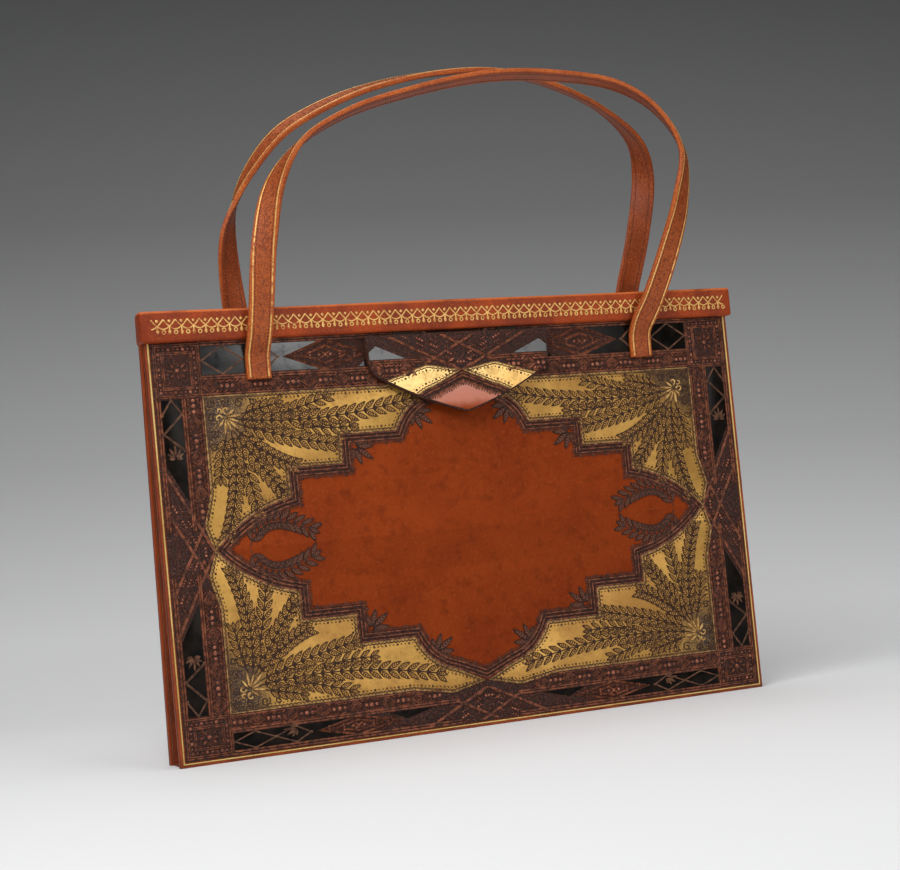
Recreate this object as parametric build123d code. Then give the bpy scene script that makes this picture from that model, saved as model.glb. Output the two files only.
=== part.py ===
from build123d import *
import math
import os

# A flat leather handbag: two stiff tooled panels, a leather-clad bar along the top of each,
# a lift tab under the front bar, folded side gussets and two strap handles.
# X runs to the right, Y to the back and Z up. The origin is on the floor, under the middle.
# Each half is drawn upright, with its outer face at y = 0 and its inside at +y, then leaned in.

# Panels
panel_width = 281.0
panel_height = 173.5
base_depth = 17.0
mouth_depth = 8.6
leather = 1.2
board = 1.2
lining = 0.5
edge_round = 1.0

# Bars along the mouth
bar_height = 13.0
bar_proud = 3.0
bar_cover = 1.1
bar_round = 1.6
front_bar_overhang = 1.8
rear_bar_overhang = 0.0
rail_web = 1.0
rail_inner_leg = 0.8
board_fit = 0.3

# Tooled ornament of the front
medallion_height = 86.5
medallion_half_width = 118.0
medallion_half_rise = 66.4
medallion_band = 6.0
field_margin = 23.0
relief = 0.4
groove_width = 1.0
border_line_inset = 2.6
border_track = 14.2

# Lift tab and its catch
tab_top_width = 88.0
tab_corner_width = 86.4
tab_corner_drop = 15.5
tab_corner_round = 9.0
tab_length = 35.0
tab_bow = 1.8
tab_tip_round = 10.0
tab_leather_thickness = 0.9
tab_plate_thickness = 0.8
tab_lining_thickness = 0.8
tab_plate_margin = 2.5
tab_curl_radius = 160.0
tab_axis_out = 1.2
tab_roll_angle = 25.0
tab_fit = 0.3
knuckle_radius = 0.85
knuckle_half_length = 20.0
lug_length = 9.7
lug_thickness = 0.8
lug_set_back = 0.2
tab_pin_radius = 0.4
pin_clearance = 0.05
nose_width = 10.0
nose_reach = 4.9
keeper_width = 12.0
keeper_thickness = 0.6

# Gussets and bottom
gusset_thickness = 0.8
gusset_fold = 30.0
gusset_fit = 0.3
strip_thickness = 1.0
strip_flange = 5.0

# Strap handles
strap_width = 10.8
strap_thickness = 2.2
strap_spacing = 185.0
foot_drop = 17.0
flex_drop = 6.5
foot_gap = 3.8
strap_fit = 0.5
front_rise = 118.5
rear_rise = 123.5
front_lean = 8.0
rear_lean = 9.4

# One overrun serves every cut
overrun = 1.0

# Sizes that follow
tilt = math.degrees(math.atan2((base_depth - mouth_depth) / 2, panel_height))
tilt_slope = math.tan(math.radians(tilt))
panel_thickness = leather + board + lining
bar_top = panel_height + bar_height
rail_low = panel_height + bar_cover
rail_top = bar_top - bar_cover
tongue_top = rail_top - rail_web
rail_out = bar_proud - bar_cover
half_inside = panel_thickness + rail_inner_leg
tab_outer_radius = knuckle_radius + tab_leather_thickness
tab_axis_height = panel_height - tab_outer_radius - tab_fit
lug_radius = knuckle_radius - tab_fit / 2
foot_height = panel_height - foot_drop
flex_height = panel_height - flex_drop
flex_out = strap_thickness / 2 + strap_fit


def slab(width, outside, inside, low, high):
    """A plate centred on x = 0, from y = outside to y = inside."""
    plate = Box(width, inside - outside, high - low, align=(Align.CENTER, Align.MIN, Align.MIN))
    return Pos(0, outside, low) * plate


def lean_front(shape):
    return Pos(0, -base_depth / 2, 0) * Rot(-tilt, 0, 0) * shape


def lean_rear(shape):
    return mirror(lean_front(shape), about=Plane.XZ)


def above_floor(shape):
    """Trim the leaned panel's lower edge level, so that it stands flat."""
    floor_side = panel_width + 2 * overrun
    block = Box(floor_side, floor_side, floor_side, align=(Align.CENTER, Align.CENTER, Align.MIN))
    return shape & block


def bar_width(overhang):
    return panel_width + 2 * overhang


def tongue_width(overhang):
    """Width of the panel's upper edge, which goes up into the bar between its end caps."""
    return min(panel_width, bar_width(overhang) - 2 * bar_cover - 2 * board_fit)


def core_width(overhang):
    return min(tongue_width(overhang), panel_width - 2 * leather)


def catch_slot():
    """The window behind the tab that its catch swings down through."""
    width = nose_width + 2 * tab_fit
    reach = nose_reach + tab_axis_out
    low = tab_axis_height - reach - tab_plate_thickness
    return slab(width, -overrun, panel_thickness + overrun, low, tab_axis_height + tab_plate_thickness)


# Tooled ornament

shoulder_shares = (0.703, 0.301)
step_shares = (0.495, 0.486)
neck_shares = (0.273, 0.675)
side_bow_shares = (0.868, 0.193)
crown_bow_shares = (0.212, 0.826)
crown_end_shares = (0.119, 0.911)


def medallion_point(shares, right, up):
    return (right * shares[0] * medallion_half_width, up * shares[1] * medallion_half_rise)


def medallion_quarter(right, up):
    """One quarter of the outline, from the side tip to the crown tip."""
    tip = (right * medallion_half_width, 0)
    crown = (0, up * medallion_half_rise)
    shoulder = medallion_point(shoulder_shares, right, up)
    step = medallion_point(step_shares, right, up)
    neck = medallion_point(neck_shares, right, up)
    crown_end = medallion_point(crown_end_shares, right, up)
    return [
        ThreePointArc(tip, medallion_point(side_bow_shares, right, up), shoulder),
        Line(shoulder, (shoulder[0], step[1])),
        Line((shoulder[0], step[1]), step),
        Line(step, (step[0], neck[1])),
        Line((step[0], neck[1]), neck),
        ThreePointArc(neck, medallion_point(crown_bow_shares, right, up), crown_end),
        Line(crown_end, crown),
    ]


def medallion():
    edges = []
    for right in (1, -1):
        for up in (1, -1):
            edges += medallion_quarter(right, up)
    return make_face(edges)


def on_panel(drawing, height):
    """A drawing laid on the panel's face, cut into it to the depth of the tooling."""
    return extrude(Pos(0, 0, height) * (Plane.XZ * drawing), amount=relief, dir=(0, 1, 0))


def border_groove(inset):
    outer = Rectangle(panel_width - 2 * inset, panel_height - 2 * inset)
    inner_width = panel_width - 2 * inset - 2 * groove_width
    inner = Rectangle(inner_width, panel_height - 2 * inset - 2 * groove_width)
    return on_panel(outer - inner, panel_height / 2)


def tooled_ground():
    """The sunk ground: four spandrels round the medallion, and the medallion's own field."""
    field = Rectangle(panel_width - 2 * field_margin, panel_height - 2 * field_margin)
    shape = medallion()
    spandrels = Pos(0, panel_height / 2 - medallion_height) * field - shape
    centre = offset(shape, amount=-medallion_band, kind=Kind.INTERSECTION)
    cuts = [on_panel(face, medallion_height) for face in spandrels.faces()]
    return cuts + [on_panel(centre, medallion_height)]


# Panels

def leather_tray(overhang):
    """Cover leather: the outer face, with its edges turned in round the board."""
    skin = slab(panel_width, 0, panel_thickness, 0, panel_height)
    corners = skin.edges().filter_by(Axis.Z).group_by(Axis.Y)[0]
    skin = fillet(corners, edge_round)
    skin += slab(tongue_width(overhang), 0, panel_thickness, panel_height, tongue_top)
    inner = panel_width - 2 * leather
    return skin - slab(inner, leather, panel_thickness + overrun, leather, tongue_top + overrun)


def core_sheet(overhang, outside, inside):
    """A flat sheet inside the tray, with its upper edge in the bar."""
    sheet = slab(panel_width - 2 * leather, outside, inside, leather, panel_height)
    return sheet + slab(core_width(overhang), outside, inside, panel_height, tongue_top)


def front_leather():
    skin = leather_tray(front_bar_overhang) - catch_slot()
    skin -= border_groove(border_line_inset)
    skin -= border_groove(border_track)
    for cut in tooled_ground():
        skin -= cut
    return above_floor(lean_front(skin))


def rear_leather():
    skin = leather_tray(rear_bar_overhang)
    skin -= border_groove(border_line_inset)
    skin -= border_groove(border_track)
    return above_floor(lean_rear(skin))


def front_core(outside, inside):
    return lean_front(core_sheet(front_bar_overhang, outside, inside) - catch_slot())


def rear_core(outside, inside):
    return lean_rear(core_sheet(rear_bar_overhang, outside, inside))


# Bars

def along_x(radius, start, stop):
    """A round bar along X on the tab's axis."""
    bar = Rot(0, 90, 0) * Cylinder(radius, stop - start, align=(Align.CENTER, Align.CENTER, Align.MIN))
    return Pos(start, -tab_axis_out, tab_axis_height) * bar


def rail(overhang):
    """Metal channel that grips the panel's upper edge."""
    width = bar_width(overhang) - 2 * bar_cover
    channel = slab(width, -rail_out, 0, rail_low, rail_top)
    channel += slab(width, -rail_out, half_inside, tongue_top, rail_top)
    return channel + slab(width, panel_thickness, half_inside, rail_low, tongue_top)


def hinge_lugs():
    """Two lugs under the front rail that hold the tab's pin, set back from the tab's rolled edge."""
    lugs = []
    for start in (knuckle_half_length + tab_fit, -knuckle_half_length - tab_fit - lug_length):
        middle = start + lug_length / 2
        front = lug_set_back - tab_axis_out
        web = slab(lug_length, front, front + lug_thickness, tab_axis_height, rail_low)
        lug = along_x(lug_radius, start, start + lug_length) + Pos(middle, 0, 0) * web
        lugs.append(lug - along_x(tab_pin_radius, start, start + lug_length))
    return lugs


def front_rail():
    shape = rail(front_bar_overhang)
    for lug in hinge_lugs():
        shape += lug
    return lean_front(shape)


def wrapped_bar(overhang):
    """Leather round the rail: front, top, lower lip and end caps."""
    width = bar_width(overhang)
    hollow = width - 2 * bar_cover
    wrap = slab(width, -bar_proud, half_inside, panel_height, bar_top)
    front_edges = wrap.edges().filter_by(Axis.X).group_by(Axis.Y)[0]
    wrap = fillet(front_edges.sort_by(Axis.Z)[-1], bar_round)
    lower = wrap.edges().filter_by(Axis.X).group_by(Axis.Z)[0].sort_by(Axis.Y)[0]
    wrap = fillet(lower, edge_round)
    wrap -= slab(hollow, -rail_out, half_inside + overrun, rail_low, rail_top)
    return wrap - slab(hollow, 0, half_inside + overrun, panel_height - overrun, rail_low + overrun)


def front_bar():
    notch = 2 * (knuckle_half_length + lug_length + 2 * tab_fit)
    lip = slab(notch, -rail_out, overrun, panel_height - overrun, rail_low + overrun)
    return lean_front(wrapped_bar(front_bar_overhang) - lip)


# Lift tab

tab_corner_round_share = 0.04


def tab_outline(margin):
    """The tab seen from the front: straight sides, rounded corners and bowed edges to its blunt tip."""
    top = tab_top_width / 2 - margin
    corner = Vector(tab_corner_width / 2 - margin, -tab_corner_drop + margin * tab_corner_round_share)
    tip = Vector(0, margin - tab_length)
    bow = (corner + tip) / 2 + (corner - tip).rotate(Axis.Z, -90).normalized() * tab_bow
    sides = Polyline((-corner.X, corner.Y), (-top, 0), (-top, tab_outer_radius), (top, tab_outer_radius), (top, 0),
                     (corner.X, corner.Y))
    right_edge = ThreePointArc(corner, bow, tip)
    left_edge = ThreePointArc(tip, (-bow.X, bow.Y), (-corner.X, corner.Y))
    face = make_face([*sides.edges(), right_edge, left_edge])
    face = fillet(face.vertices().sort_by(Axis.Y)[1:3], tab_corner_round)
    return fillet(face.vertices().sort_by(Axis.Y)[0], tab_tip_round)


def tab_shell(inner, outer, top, margin):
    """A layer of the tab: part of a large drum, curling outwards as it goes down."""
    middle = -tab_axis_out - knuckle_radius - tab_curl_radius
    drum = Circle(tab_curl_radius + outer) - Circle(tab_curl_radius + inner)
    drum = extrude(Plane.YZ * drum, amount=tab_top_width / 2, both=True)
    drum = Pos(0, middle, tab_axis_height) * drum
    face = Pos(0, 0, tab_axis_height) * (Plane.XZ * tab_outline(margin))
    reach = tab_length + bar_proud
    window = extrude(Pos(0, -reach, 0) * face, amount=2 * reach, dir=(0, 1, 0))
    below = slab(tab_top_width, -reach, reach, tab_axis_height - tab_length, tab_axis_height + top)
    return drum & window & below


def tab_roll():
    """The leather's upper edge, rolled over the hinge."""
    ring = Circle(tab_outer_radius) - Circle(knuckle_radius)
    arm = 2 * tab_outer_radius
    rise = arm * math.tan(math.radians(tab_roll_angle))
    wedge = make_face(Polyline((0, 0), (-arm, 0), (-arm, rise), close=True))
    roll = extrude(Plane.YZ * (ring & wedge), amount=tab_top_width / 2, both=True)
    return Pos(0, -tab_axis_out, tab_axis_height) * roll


def tab_leather():
    return lean_front(tab_shell(-tab_leather_thickness, 0, 0, 0) + tab_roll())


def tab_plate():
    """Stiffener with the hinge barrel at its top and the catch's nose behind."""
    below_lugs = -lug_radius - tab_fit
    plate = tab_shell(0, tab_plate_thickness, below_lugs, tab_plate_margin)
    neck = slab(2 * knuckle_half_length, -tab_axis_out - knuckle_radius,
                -tab_axis_out - knuckle_radius + tab_plate_thickness,
                tab_axis_height + below_lugs - tab_fit, tab_axis_height)
    nose = slab(nose_width, -tab_axis_out, nose_reach, tab_axis_height - tab_plate_thickness / 2,
                tab_axis_height + tab_plate_thickness / 2)
    plate += neck
    plate += along_x(knuckle_radius, -knuckle_half_length, knuckle_half_length)
    plate += nose
    bore = along_x(tab_pin_radius + pin_clearance, -knuckle_half_length - overrun, knuckle_half_length + overrun)
    return lean_front(plate - bore)


def tab_lining():
    top = -2 * knuckle_radius
    back = tab_plate_thickness + tab_lining_thickness
    return lean_front(tab_shell(tab_plate_thickness, back, top, 0))


def tab_pin():
    end = knuckle_half_length + tab_fit + lug_length
    return lean_front(along_x(tab_pin_radius, -end, end))


def catch_keeper():
    """Small spring leaf under the rear rail, just over the nose of the catch."""
    low = tab_axis_height + tab_plate_thickness / 2 + tab_fit
    leaf = slab(keeper_width, panel_thickness, panel_thickness + keeper_thickness, low, rail_low)
    foot = slab(keeper_width, panel_thickness, half_inside, low, low + keeper_thickness)
    return lean_rear(leaf + foot)


# Gussets and bottom

def half_gap(height):
    """Half the space between the linings at a height."""
    return base_depth / 2 - panel_thickness / math.cos(math.radians(tilt)) - height * tilt_slope


def gusset_section(height):
    """V-fold of the gusset, its two edges along the linings and its fold turned in."""
    edge = panel_width / 2 - leather
    fold = edge - gusset_fold
    front = half_gap(height) - gusset_fit
    rear = half_gap(height)
    points = [(edge, -front), (fold, -gusset_thickness), (fold - gusset_thickness, 0),
              (fold, gusset_thickness), (edge, rear), (edge, rear - gusset_thickness),
              (fold + gusset_thickness, 0), (edge, gusset_thickness - front)]
    return Pos(0, 0, height) * make_face(Polyline(*points, close=True))


def gusset_right():
    return loft([gusset_section(strip_flange), gusset_section(panel_height - strip_thickness)], ruled=True)


def gusset_left():
    return mirror(gusset_right(), about=Plane.YZ)


def bottom_strip():
    """Channel-shaped strip that closes the bottom between the two panels."""
    front_low = gusset_fit - half_gap(0)
    front_high = gusset_fit - half_gap(strip_flange)
    points = [(front_low, 0), (half_gap(0), 0), (half_gap(strip_flange), strip_flange),
              (half_gap(strip_flange) - strip_thickness, strip_flange),
              (half_gap(strip_thickness) - strip_thickness, strip_thickness),
              (front_low + strip_thickness, strip_thickness),
              (front_high + strip_thickness, strip_flange), (front_high, strip_flange)]
    section = Plane.YZ * make_face(Polyline(*points, close=True))
    return extrude(section, amount=panel_width / 2 - leather, both=True)


# Strap handles

# Stations from the left foot to the right one. Across is a share of half the spacing, rise of the
# strap's rise over its flex line, and lean of how far it stands out. Twist is a share of a quarter turn.
front_strap_shares = [
    (-1.000, 0.000, 0.000, 0.00),
    (-0.999, 0.026, 0.215, 0.00),
    (-0.996, 0.060, 0.465, 0.00),
    (-0.983, 0.152, 0.670, 0.04),
    (-0.943, 0.396, 0.850, 0.30),
    (-0.873, 0.592, 0.930, 0.68),
    (-0.737, 0.735, 0.880, 1.04),
    (-0.501, 0.844, 0.750, 1.10),
    (-0.170, 0.927, 0.600, 1.10),
    (0.260, 0.994, 0.500, 1.10),
    (0.624, 1.000, 0.500, 1.06),
    (0.983, 0.961, 0.560, 0.97),
    (1.197, 0.861, 0.630, 0.79),
    (1.310, 0.706, 0.760, 0.58),
    (1.267, 0.512, 0.880, 0.29),
    (1.176, 0.322, 0.820, 0.09),
    (1.056, 0.125, 0.690, 0.03),
    (1.006, 0.050, 0.465, 0.00),
    (1.000, 0.026, 0.215, 0.00),
    (1.000, 0.000, 0.000, 0.00),
]
rear_strap_shares = [
    (-1.000, 0.000, 0.000, 0.00),
    (-1.000, 0.025, 0.190, 0.00),
    (-1.006, 0.058, 0.420, 0.00),
    (-1.022, 0.170, 0.690, 0.06),
    (-1.020, 0.415, 0.960, 0.44),
    (-0.965, 0.550, 1.000, 0.88),
    (-0.885, 0.655, 0.960, 1.10),
    (-0.735, 0.780, 0.880, 1.22),
    (-0.525, 0.870, 0.800, 1.22),
    (-0.270, 0.940, 0.740, 1.16),
    (0.100, 0.994, 0.700, 1.08),
    (0.430, 1.000, 0.700, 1.06),
    (0.760, 0.945, 0.740, 1.12),
    (1.030, 0.850, 0.820, 1.14),
    (1.190, 0.735, 0.900, 0.94),
    (1.222, 0.610, 0.960, 0.60),
    (1.165, 0.390, 0.930, 0.20),
    (1.065, 0.180, 0.680, 0.04),
    (1.006, 0.058, 0.420, 0.00),
    (1.000, 0.025, 0.190, 0.00),
    (1.000, 0.000, 0.000, 0.00),
]
nose_angles = (70.0, 40.0)


def strap_points(shares, rise, lean):
    half = strap_spacing / 2
    return [Vector(half * across, -flex_out - lean * out, flex_height + rise * up)
            for across, up, out, twist in shares]


def strap_places(line, points, shares):
    """Each station and the middle of each stretch, as places on the line with their twists."""
    marks = [(line.param_at_point(point), row[3]) for point, row in zip(points, shares)]
    middles = [((low[0] + high[0]) / 2, (low[1] + high[1]) / 2) for low, high in zip(marks, marks[1:])]
    return sorted(marks + middles)


def strap_plane(middle, tangent, twist):
    """Plane across the strap: its face looks out at the feet and up at the top of the arch."""
    outward = Vector(0, -1, 0)
    flat = tangent - outward * tangent.dot(outward)
    sideways = flat.normalized().cross(outward)
    turned = outward * math.cos(twist) - sideways * math.sin(twist)
    face_normal = (turned - tangent * turned.dot(tangent)).normalized()
    return Plane(origin=middle, x_dir=tangent.cross(face_normal), z_dir=tangent)


def strap_nose(plane, direction):
    """Sections that round off the strap's end about its flex line."""
    radius = strap_thickness / 2
    faces = []
    for angle in nose_angles:
        shift = direction * radius * math.sin(math.radians(angle))
        section = Rectangle(strap_width, strap_thickness * math.cos(math.radians(angle)))
        faces.append(plane.offset(shift) * section)
    return faces


def strap_loop(shares, rise, lean):
    """A flat strap from flex line to flex line, turned a quarter on each side of its arch."""
    points = strap_points(shares, rise, lean)
    line = Spline(*points)
    planes = []
    for place, twist in strap_places(line, points, shares):
        along = line % place
        if place in (0, 1):
            along = Vector(0, along.Y, along.Z).normalized()
        planes.append(strap_plane(line @ place, along, twist * math.pi / 2))
    section = Rectangle(strap_width, strap_thickness)
    faces = strap_nose(planes[0], -1)
    faces += [plane * section for plane in planes]
    faces += reversed(strap_nose(planes[-1], 1))
    return loft(faces, ruled=True)


def strap_feet():
    """The two sewn ends of a strap, flat on the panel."""
    top = flex_height - foot_gap
    foot = slab(strap_width, -strap_thickness, 0, foot_height, top)
    half = strap_spacing / 2
    return [Pos(half, 0, 0) * foot, Pos(-half, 0, 0) * foot]


def front_strap_feet():
    return Compound(children=[lean_front(foot) for foot in strap_feet()])


def rear_strap_feet():
    return Compound(children=[lean_rear(foot) for foot in strap_feet()])


board_inside = leather + board
parts = {
    "front_leather": front_leather(),
    "front_board": front_core(leather, board_inside),
    "front_lining": front_core(board_inside, panel_thickness),
    "front_rail": front_rail(),
    "front_bar_cover": front_bar(),
    "front_strap_feet": front_strap_feet(),
    "tab_pin": tab_pin(),
    "tab_leather": tab_leather(),
    "tab_plate": tab_plate(),
    "tab_lining": tab_lining(),
    "front_strap": lean_front(strap_loop(front_strap_shares, front_rise, front_lean)),
    "rear_leather": rear_leather(),
    "rear_board": rear_core(leather, board_inside),
    "rear_lining": rear_core(board_inside, panel_thickness),
    "rear_rail": lean_rear(rail(rear_bar_overhang)),
    "rear_bar_cover": lean_rear(wrapped_bar(rear_bar_overhang)),
    "rear_strap_feet": rear_strap_feet(),
    "catch_keeper": catch_keeper(),
    "gusset_left": gusset_left(),
    "gusset_right": gusset_right(),
    "bottom_strip": bottom_strip(),
    "rear_strap": lean_rear(strap_loop(rear_strap_shares, rear_rise, rear_lean)),
}

os.makedirs("parts", exist_ok=True)
for node, shape in parts.items():
    export_step(shape, f"parts/{node}.step")
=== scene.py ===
import math

import bpy
from mathutils import Matrix, Vector


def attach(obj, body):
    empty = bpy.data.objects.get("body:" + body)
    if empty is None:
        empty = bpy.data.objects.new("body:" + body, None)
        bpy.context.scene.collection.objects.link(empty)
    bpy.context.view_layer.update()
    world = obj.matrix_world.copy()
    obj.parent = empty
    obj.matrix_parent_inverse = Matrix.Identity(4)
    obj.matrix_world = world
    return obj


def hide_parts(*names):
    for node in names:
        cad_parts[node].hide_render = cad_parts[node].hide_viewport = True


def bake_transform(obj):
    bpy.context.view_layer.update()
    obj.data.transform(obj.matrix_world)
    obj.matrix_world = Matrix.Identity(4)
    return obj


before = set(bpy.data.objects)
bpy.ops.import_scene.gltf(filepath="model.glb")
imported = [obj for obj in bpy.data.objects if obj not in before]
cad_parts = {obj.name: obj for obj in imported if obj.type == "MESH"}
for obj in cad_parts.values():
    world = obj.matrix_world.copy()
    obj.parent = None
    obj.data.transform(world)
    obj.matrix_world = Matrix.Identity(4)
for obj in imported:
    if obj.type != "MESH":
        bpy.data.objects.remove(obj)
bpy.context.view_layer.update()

# Studio
# A pale seamless sweep, lit by a large soft lamp over the left shoulder, a strip lamp above and a dim
# card in front on the right. The camera stands a little to the left of the bag, level with its middle.
view_place = Vector((-0.37443, -0.79631, 0.10567))
view_right = Vector((0.9045, -0.4181, -0.0843)).normalized()
view_up = Vector((0.0661, -0.0579, 0.9961)).normalized()
view_up = (view_up - view_right * view_up.dot(view_right)).normalized()
view_back = view_right.cross(view_up)
view_turn = Matrix((view_right, view_up, view_back)).transposed().to_4x4()
sensor = 36.0
lens = 80.0
near_clip = 0.01

bpy.ops.object.camera_add()
camera = bpy.context.object
camera.matrix_world = Matrix.Translation(view_place) @ view_turn
camera.data.sensor_width = sensor
camera.data.lens = lens
camera.data.clip_start = near_clip
bpy.context.scene.camera = camera
bpy.context.scene.view_settings.view_transform = "Standard"


def linear(red, green, blue):
    """A colour given as it looks on a screen, 0 to 255, as the values that a shader wants."""
    values = [c / 255 for c in (red, green, blue)]
    return tuple(c / 12.92 if c < 0.04045 else ((c + 0.055) / 1.055) ** 2.4 for c in values) + (1,)


class Shade:
    """A socket of a material's nodes. Sums on it add Math nodes, and node() adds any other node."""

    def __init__(self, tree, socket=None):
        self.tree = tree
        self.socket = socket

    def node(self, kind, settings, inputs, output=0):
        made = self.tree.nodes.new(kind)
        for name, value in settings.items():
            if name == "stops":
                ramp = made.color_ramp
                while len(ramp.elements) < len(value):
                    ramp.elements.new(0.5)
                for stop, (place, colour) in zip(ramp.elements, value):
                    stop.position = place
                    stop.color = colour
            else:
                setattr(made, name, value)
        for name, value in inputs.items():
            self.feed(made.inputs[name], value)
        return Shade(self.tree, made.outputs[output])

    def feed(self, plug, value):
        if isinstance(value, Shade):
            self.tree.links.new(value.socket, plug)
        else:
            plug.default_value = value

    def sum(self, operation, *values):
        return self.node("ShaderNodeMath", {"operation": operation}, dict(enumerate(values)))

    def of(self, operation):
        """This value put through a sum of one value, such as a sine."""
        return self.sum(operation, self)

    def __add__(self, other):
        return self.sum("ADD", self, other)

    def __sub__(self, other):
        return self.sum("SUBTRACT", self, other)

    def __rsub__(self, other):
        return self.sum("SUBTRACT", other, self)

    def __mul__(self, other):
        return self.sum("MULTIPLY", self, other)

    def clear(self, low, high):
        """0 below low, 1 above high, and a smooth step between."""
        settings = {"interpolation_type": "SMOOTHSTEP"}
        return self.node("ShaderNodeMapRange", settings, {"Value": self, "From Min": low, "From Max": high})

    def blend(self, start, end):
        """Start where this mask is 0, end where it is 1."""
        return self.node("ShaderNodeMix", {"data_type": "RGBA"}, {0: self, 6: start, 7: end}, 2)

    def part(self, axis):
        return self.node("ShaderNodeSeparateXYZ", {}, {0: self}, axis)

    def scaled(self, factors):
        return self.node("ShaderNodeVectorMath", {"operation": "MULTIPLY"}, {0: self, 1: factors})

    def noise(self, scale, detail, roughness=0.55):
        inputs = {"Vector": self, "Scale": scale, "Detail": detail, "Roughness": roughness}
        return self.node("ShaderNodeTexNoise", {}, inputs)

    def cells(self, scale):
        return self.node("ShaderNodeTexVoronoi", {}, {"Vector": self, "Scale": scale}, "Distance")

    def mark(self, name, output="Fac"):
        """An attribute that the piece's own mesh carries."""
        return self.node("ShaderNodeAttribute", {"attribute_name": name}, {}, output)


def new_material(name):
    """A material, its surface shader, and the place on the object in millimetres."""
    material = bpy.data.materials.new(name)
    material.use_nodes = True
    tree = material.node_tree
    surface = tree.nodes["Principled BSDF"]
    place = Shade(tree).node("ShaderNodeTexCoord", {}, {}, "Object").scaled((1000, 1000, 1000))
    return material, surface, place


def dress(surface, values):
    """Feeds the surface shader's sockets, by name."""
    tree = Shade(surface.id_data)
    for name, value in values.items():
        tree.feed(surface.inputs[name], value)


def bumped(height, strength, distance):
    """Relief from a height, distance in metres."""
    inputs = {"Height": height, "Strength": strength, "Distance": distance}
    return height.node("ShaderNodeBump", {}, inputs, "Normal")


def choose(piece, kind, wanted):
    """Goes into edit mode with only the wanted edges or polygons of a piece selected."""
    bpy.ops.object.mode_set(mode="EDIT")
    bpy.ops.mesh.select_all(action="DESELECT")
    bpy.ops.object.mode_set(mode="OBJECT")
    for part in getattr(piece.data, kind):
        part.select = wanted(part)
    bpy.ops.object.mode_set(mode="EDIT")


floor_half = 2.5
floor_front = 2.4
sweep_depth = 0.75
sweep_height = 2.2
sweep_round = 0.6
# The sweep's tones, darker upwards and backwards over a pale floor: painted shade for the lamps' falloff.
sweep_falloff_shades = [(0.20, 238), (0.42, 242), (0.54, 230), (0.66, 178), (0.80, 118), (0.95, 60)]
tone_tilt = 0.0843
turn = math.atan2(-view_back.x, -view_back.y)

bpy.ops.object.select_all(action="DESELECT")
bpy.ops.mesh.primitive_plane_add(size=1)
sweep = bpy.context.object
sweep.name = "studio_sweep"
sweep.scale = (2 * floor_half, floor_front + sweep_depth, 1)
sweep.location = (0, (sweep_depth - floor_front) / 2, 0)
bpy.ops.object.transform_apply()


def at_back(edge):
    """An edge of the sweep along the floor's far end."""
    ends = [sweep.data.vertices[v].co for v in edge.vertices]
    return all(end.y > 0 and end.z == 0 for end in ends)


choose(sweep, "edges", at_back)
bpy.ops.mesh.select_mode(type="EDGE")
bpy.ops.mesh.extrude_region_move(TRANSFORM_OT_translate={"value": (0, 0, sweep_height)})
choose(sweep, "edges", at_back)
bpy.ops.mesh.bevel(offset=sweep_round, segments=24)
bpy.ops.object.mode_set(mode="OBJECT")
bpy.ops.object.shade_smooth()
sweep.rotation_euler = (0, 0, -turn)
bpy.ops.object.transform_apply()

# The paint darkens towards the back and upwards: painted shade in place of the lamps' falloff. The sweep is
# clear from behind, so that the bag's rear can be looked at.
sweep_paint, surface, place = new_material("sweep_paint")
depth = place.part(0) * (math.sin(turn) / 1000) + place.part(1) * (math.cos(turn) / 1000)
lateral = place.part(0) * (math.cos(turn) / 1000) - place.part(1) * (math.sin(turn) / 1000)
level = place.part(2) * (1 / 1000) + lateral * tone_tilt
climb = (depth + level + 1.0) * 0.4
stops = [(share, linear(tone, tone, tone)) for share, tone in sweep_falloff_shades]
tones = climb.node("ShaderNodeValToRGB", {"stops": stops}, {"Fac": climb})
dress(surface, {"Base Color": tones, "Roughness": 0.9, "Specular IOR Level": 0.1})
behind = climb.node("ShaderNodeNewGeometry", {}, {}, "Backfacing")
see_through = climb.node("ShaderNodeBsdfTransparent", {}, {})
painted = Shade(climb.tree, surface.outputs[0])
one_sided = climb.node("ShaderNodeMixShader", {}, {0: behind, 1: painted, 2: see_through})
climb.feed(climb.tree.nodes["Material Output"].inputs["Surface"], one_sided)
sweep.data.materials.append(sweep_paint)

lamps = [
    ("key_lamp", (-0.46, -0.47, 0.74), (0.64, 0.56), 5.7),
    ("top_lamp", (0.10, 0.05, 1.30), (1.3, 0.7), 6.0),
    ("card_lamp", (0.53, -1.50, 0.50), (0.68, 0.62), 5.0),
]
lamp_aim = Vector((0, 0, 0.12))
for name, spot, size, power in lamps:
    bpy.ops.object.light_add(type="AREA", location=spot)
    lamp = bpy.context.object
    lamp.name = name
    lamp.data.shape = "RECTANGLE"
    lamp.data.size, lamp.data.size_y = size
    lamp.data.energy = power
    lamp.rotation_euler = (lamp_aim - Vector(spot)).to_track_quat("-Z", "Y").to_euler()

world = bpy.data.worlds.new("soft_room")
bpy.context.scene.world = world
world.use_nodes = True
world.node_tree.nodes["Background"].inputs["Color"].default_value = (0.9, 0.95, 1.0, 1)
world.node_tree.nodes["Background"].inputs["Strength"].default_value = 0.12

# Front cover
# The leather of the front panel, cut as one sheet and turned in round the edges of a board. Each half of
# the bag is drawn upright in millimetres, with its outer face at y = 0, and then leaned in and stood up.
panel_half = 140.5
panel_top = 173.5
panel_depth = 2.9
cover_leather = 1.2
face_sink = 0.3
face_lap = 0.1
face_round = 0.3
rim_round = 0.45
tongue_top = 184.3
floor_trim = 0.1
lean_in = 4.2
lean = math.atan2(lean_in, panel_top)
half_depth = 8.5
front_frame = (Matrix.Translation((0, -half_depth / 1000, 0)) @ Matrix.Rotation(-lean, 4, "X")
               @ Matrix.Scale(0.001, 4))
rear_frame = Matrix.Rotation(math.pi, 4, "Z") @ front_frame


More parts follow.
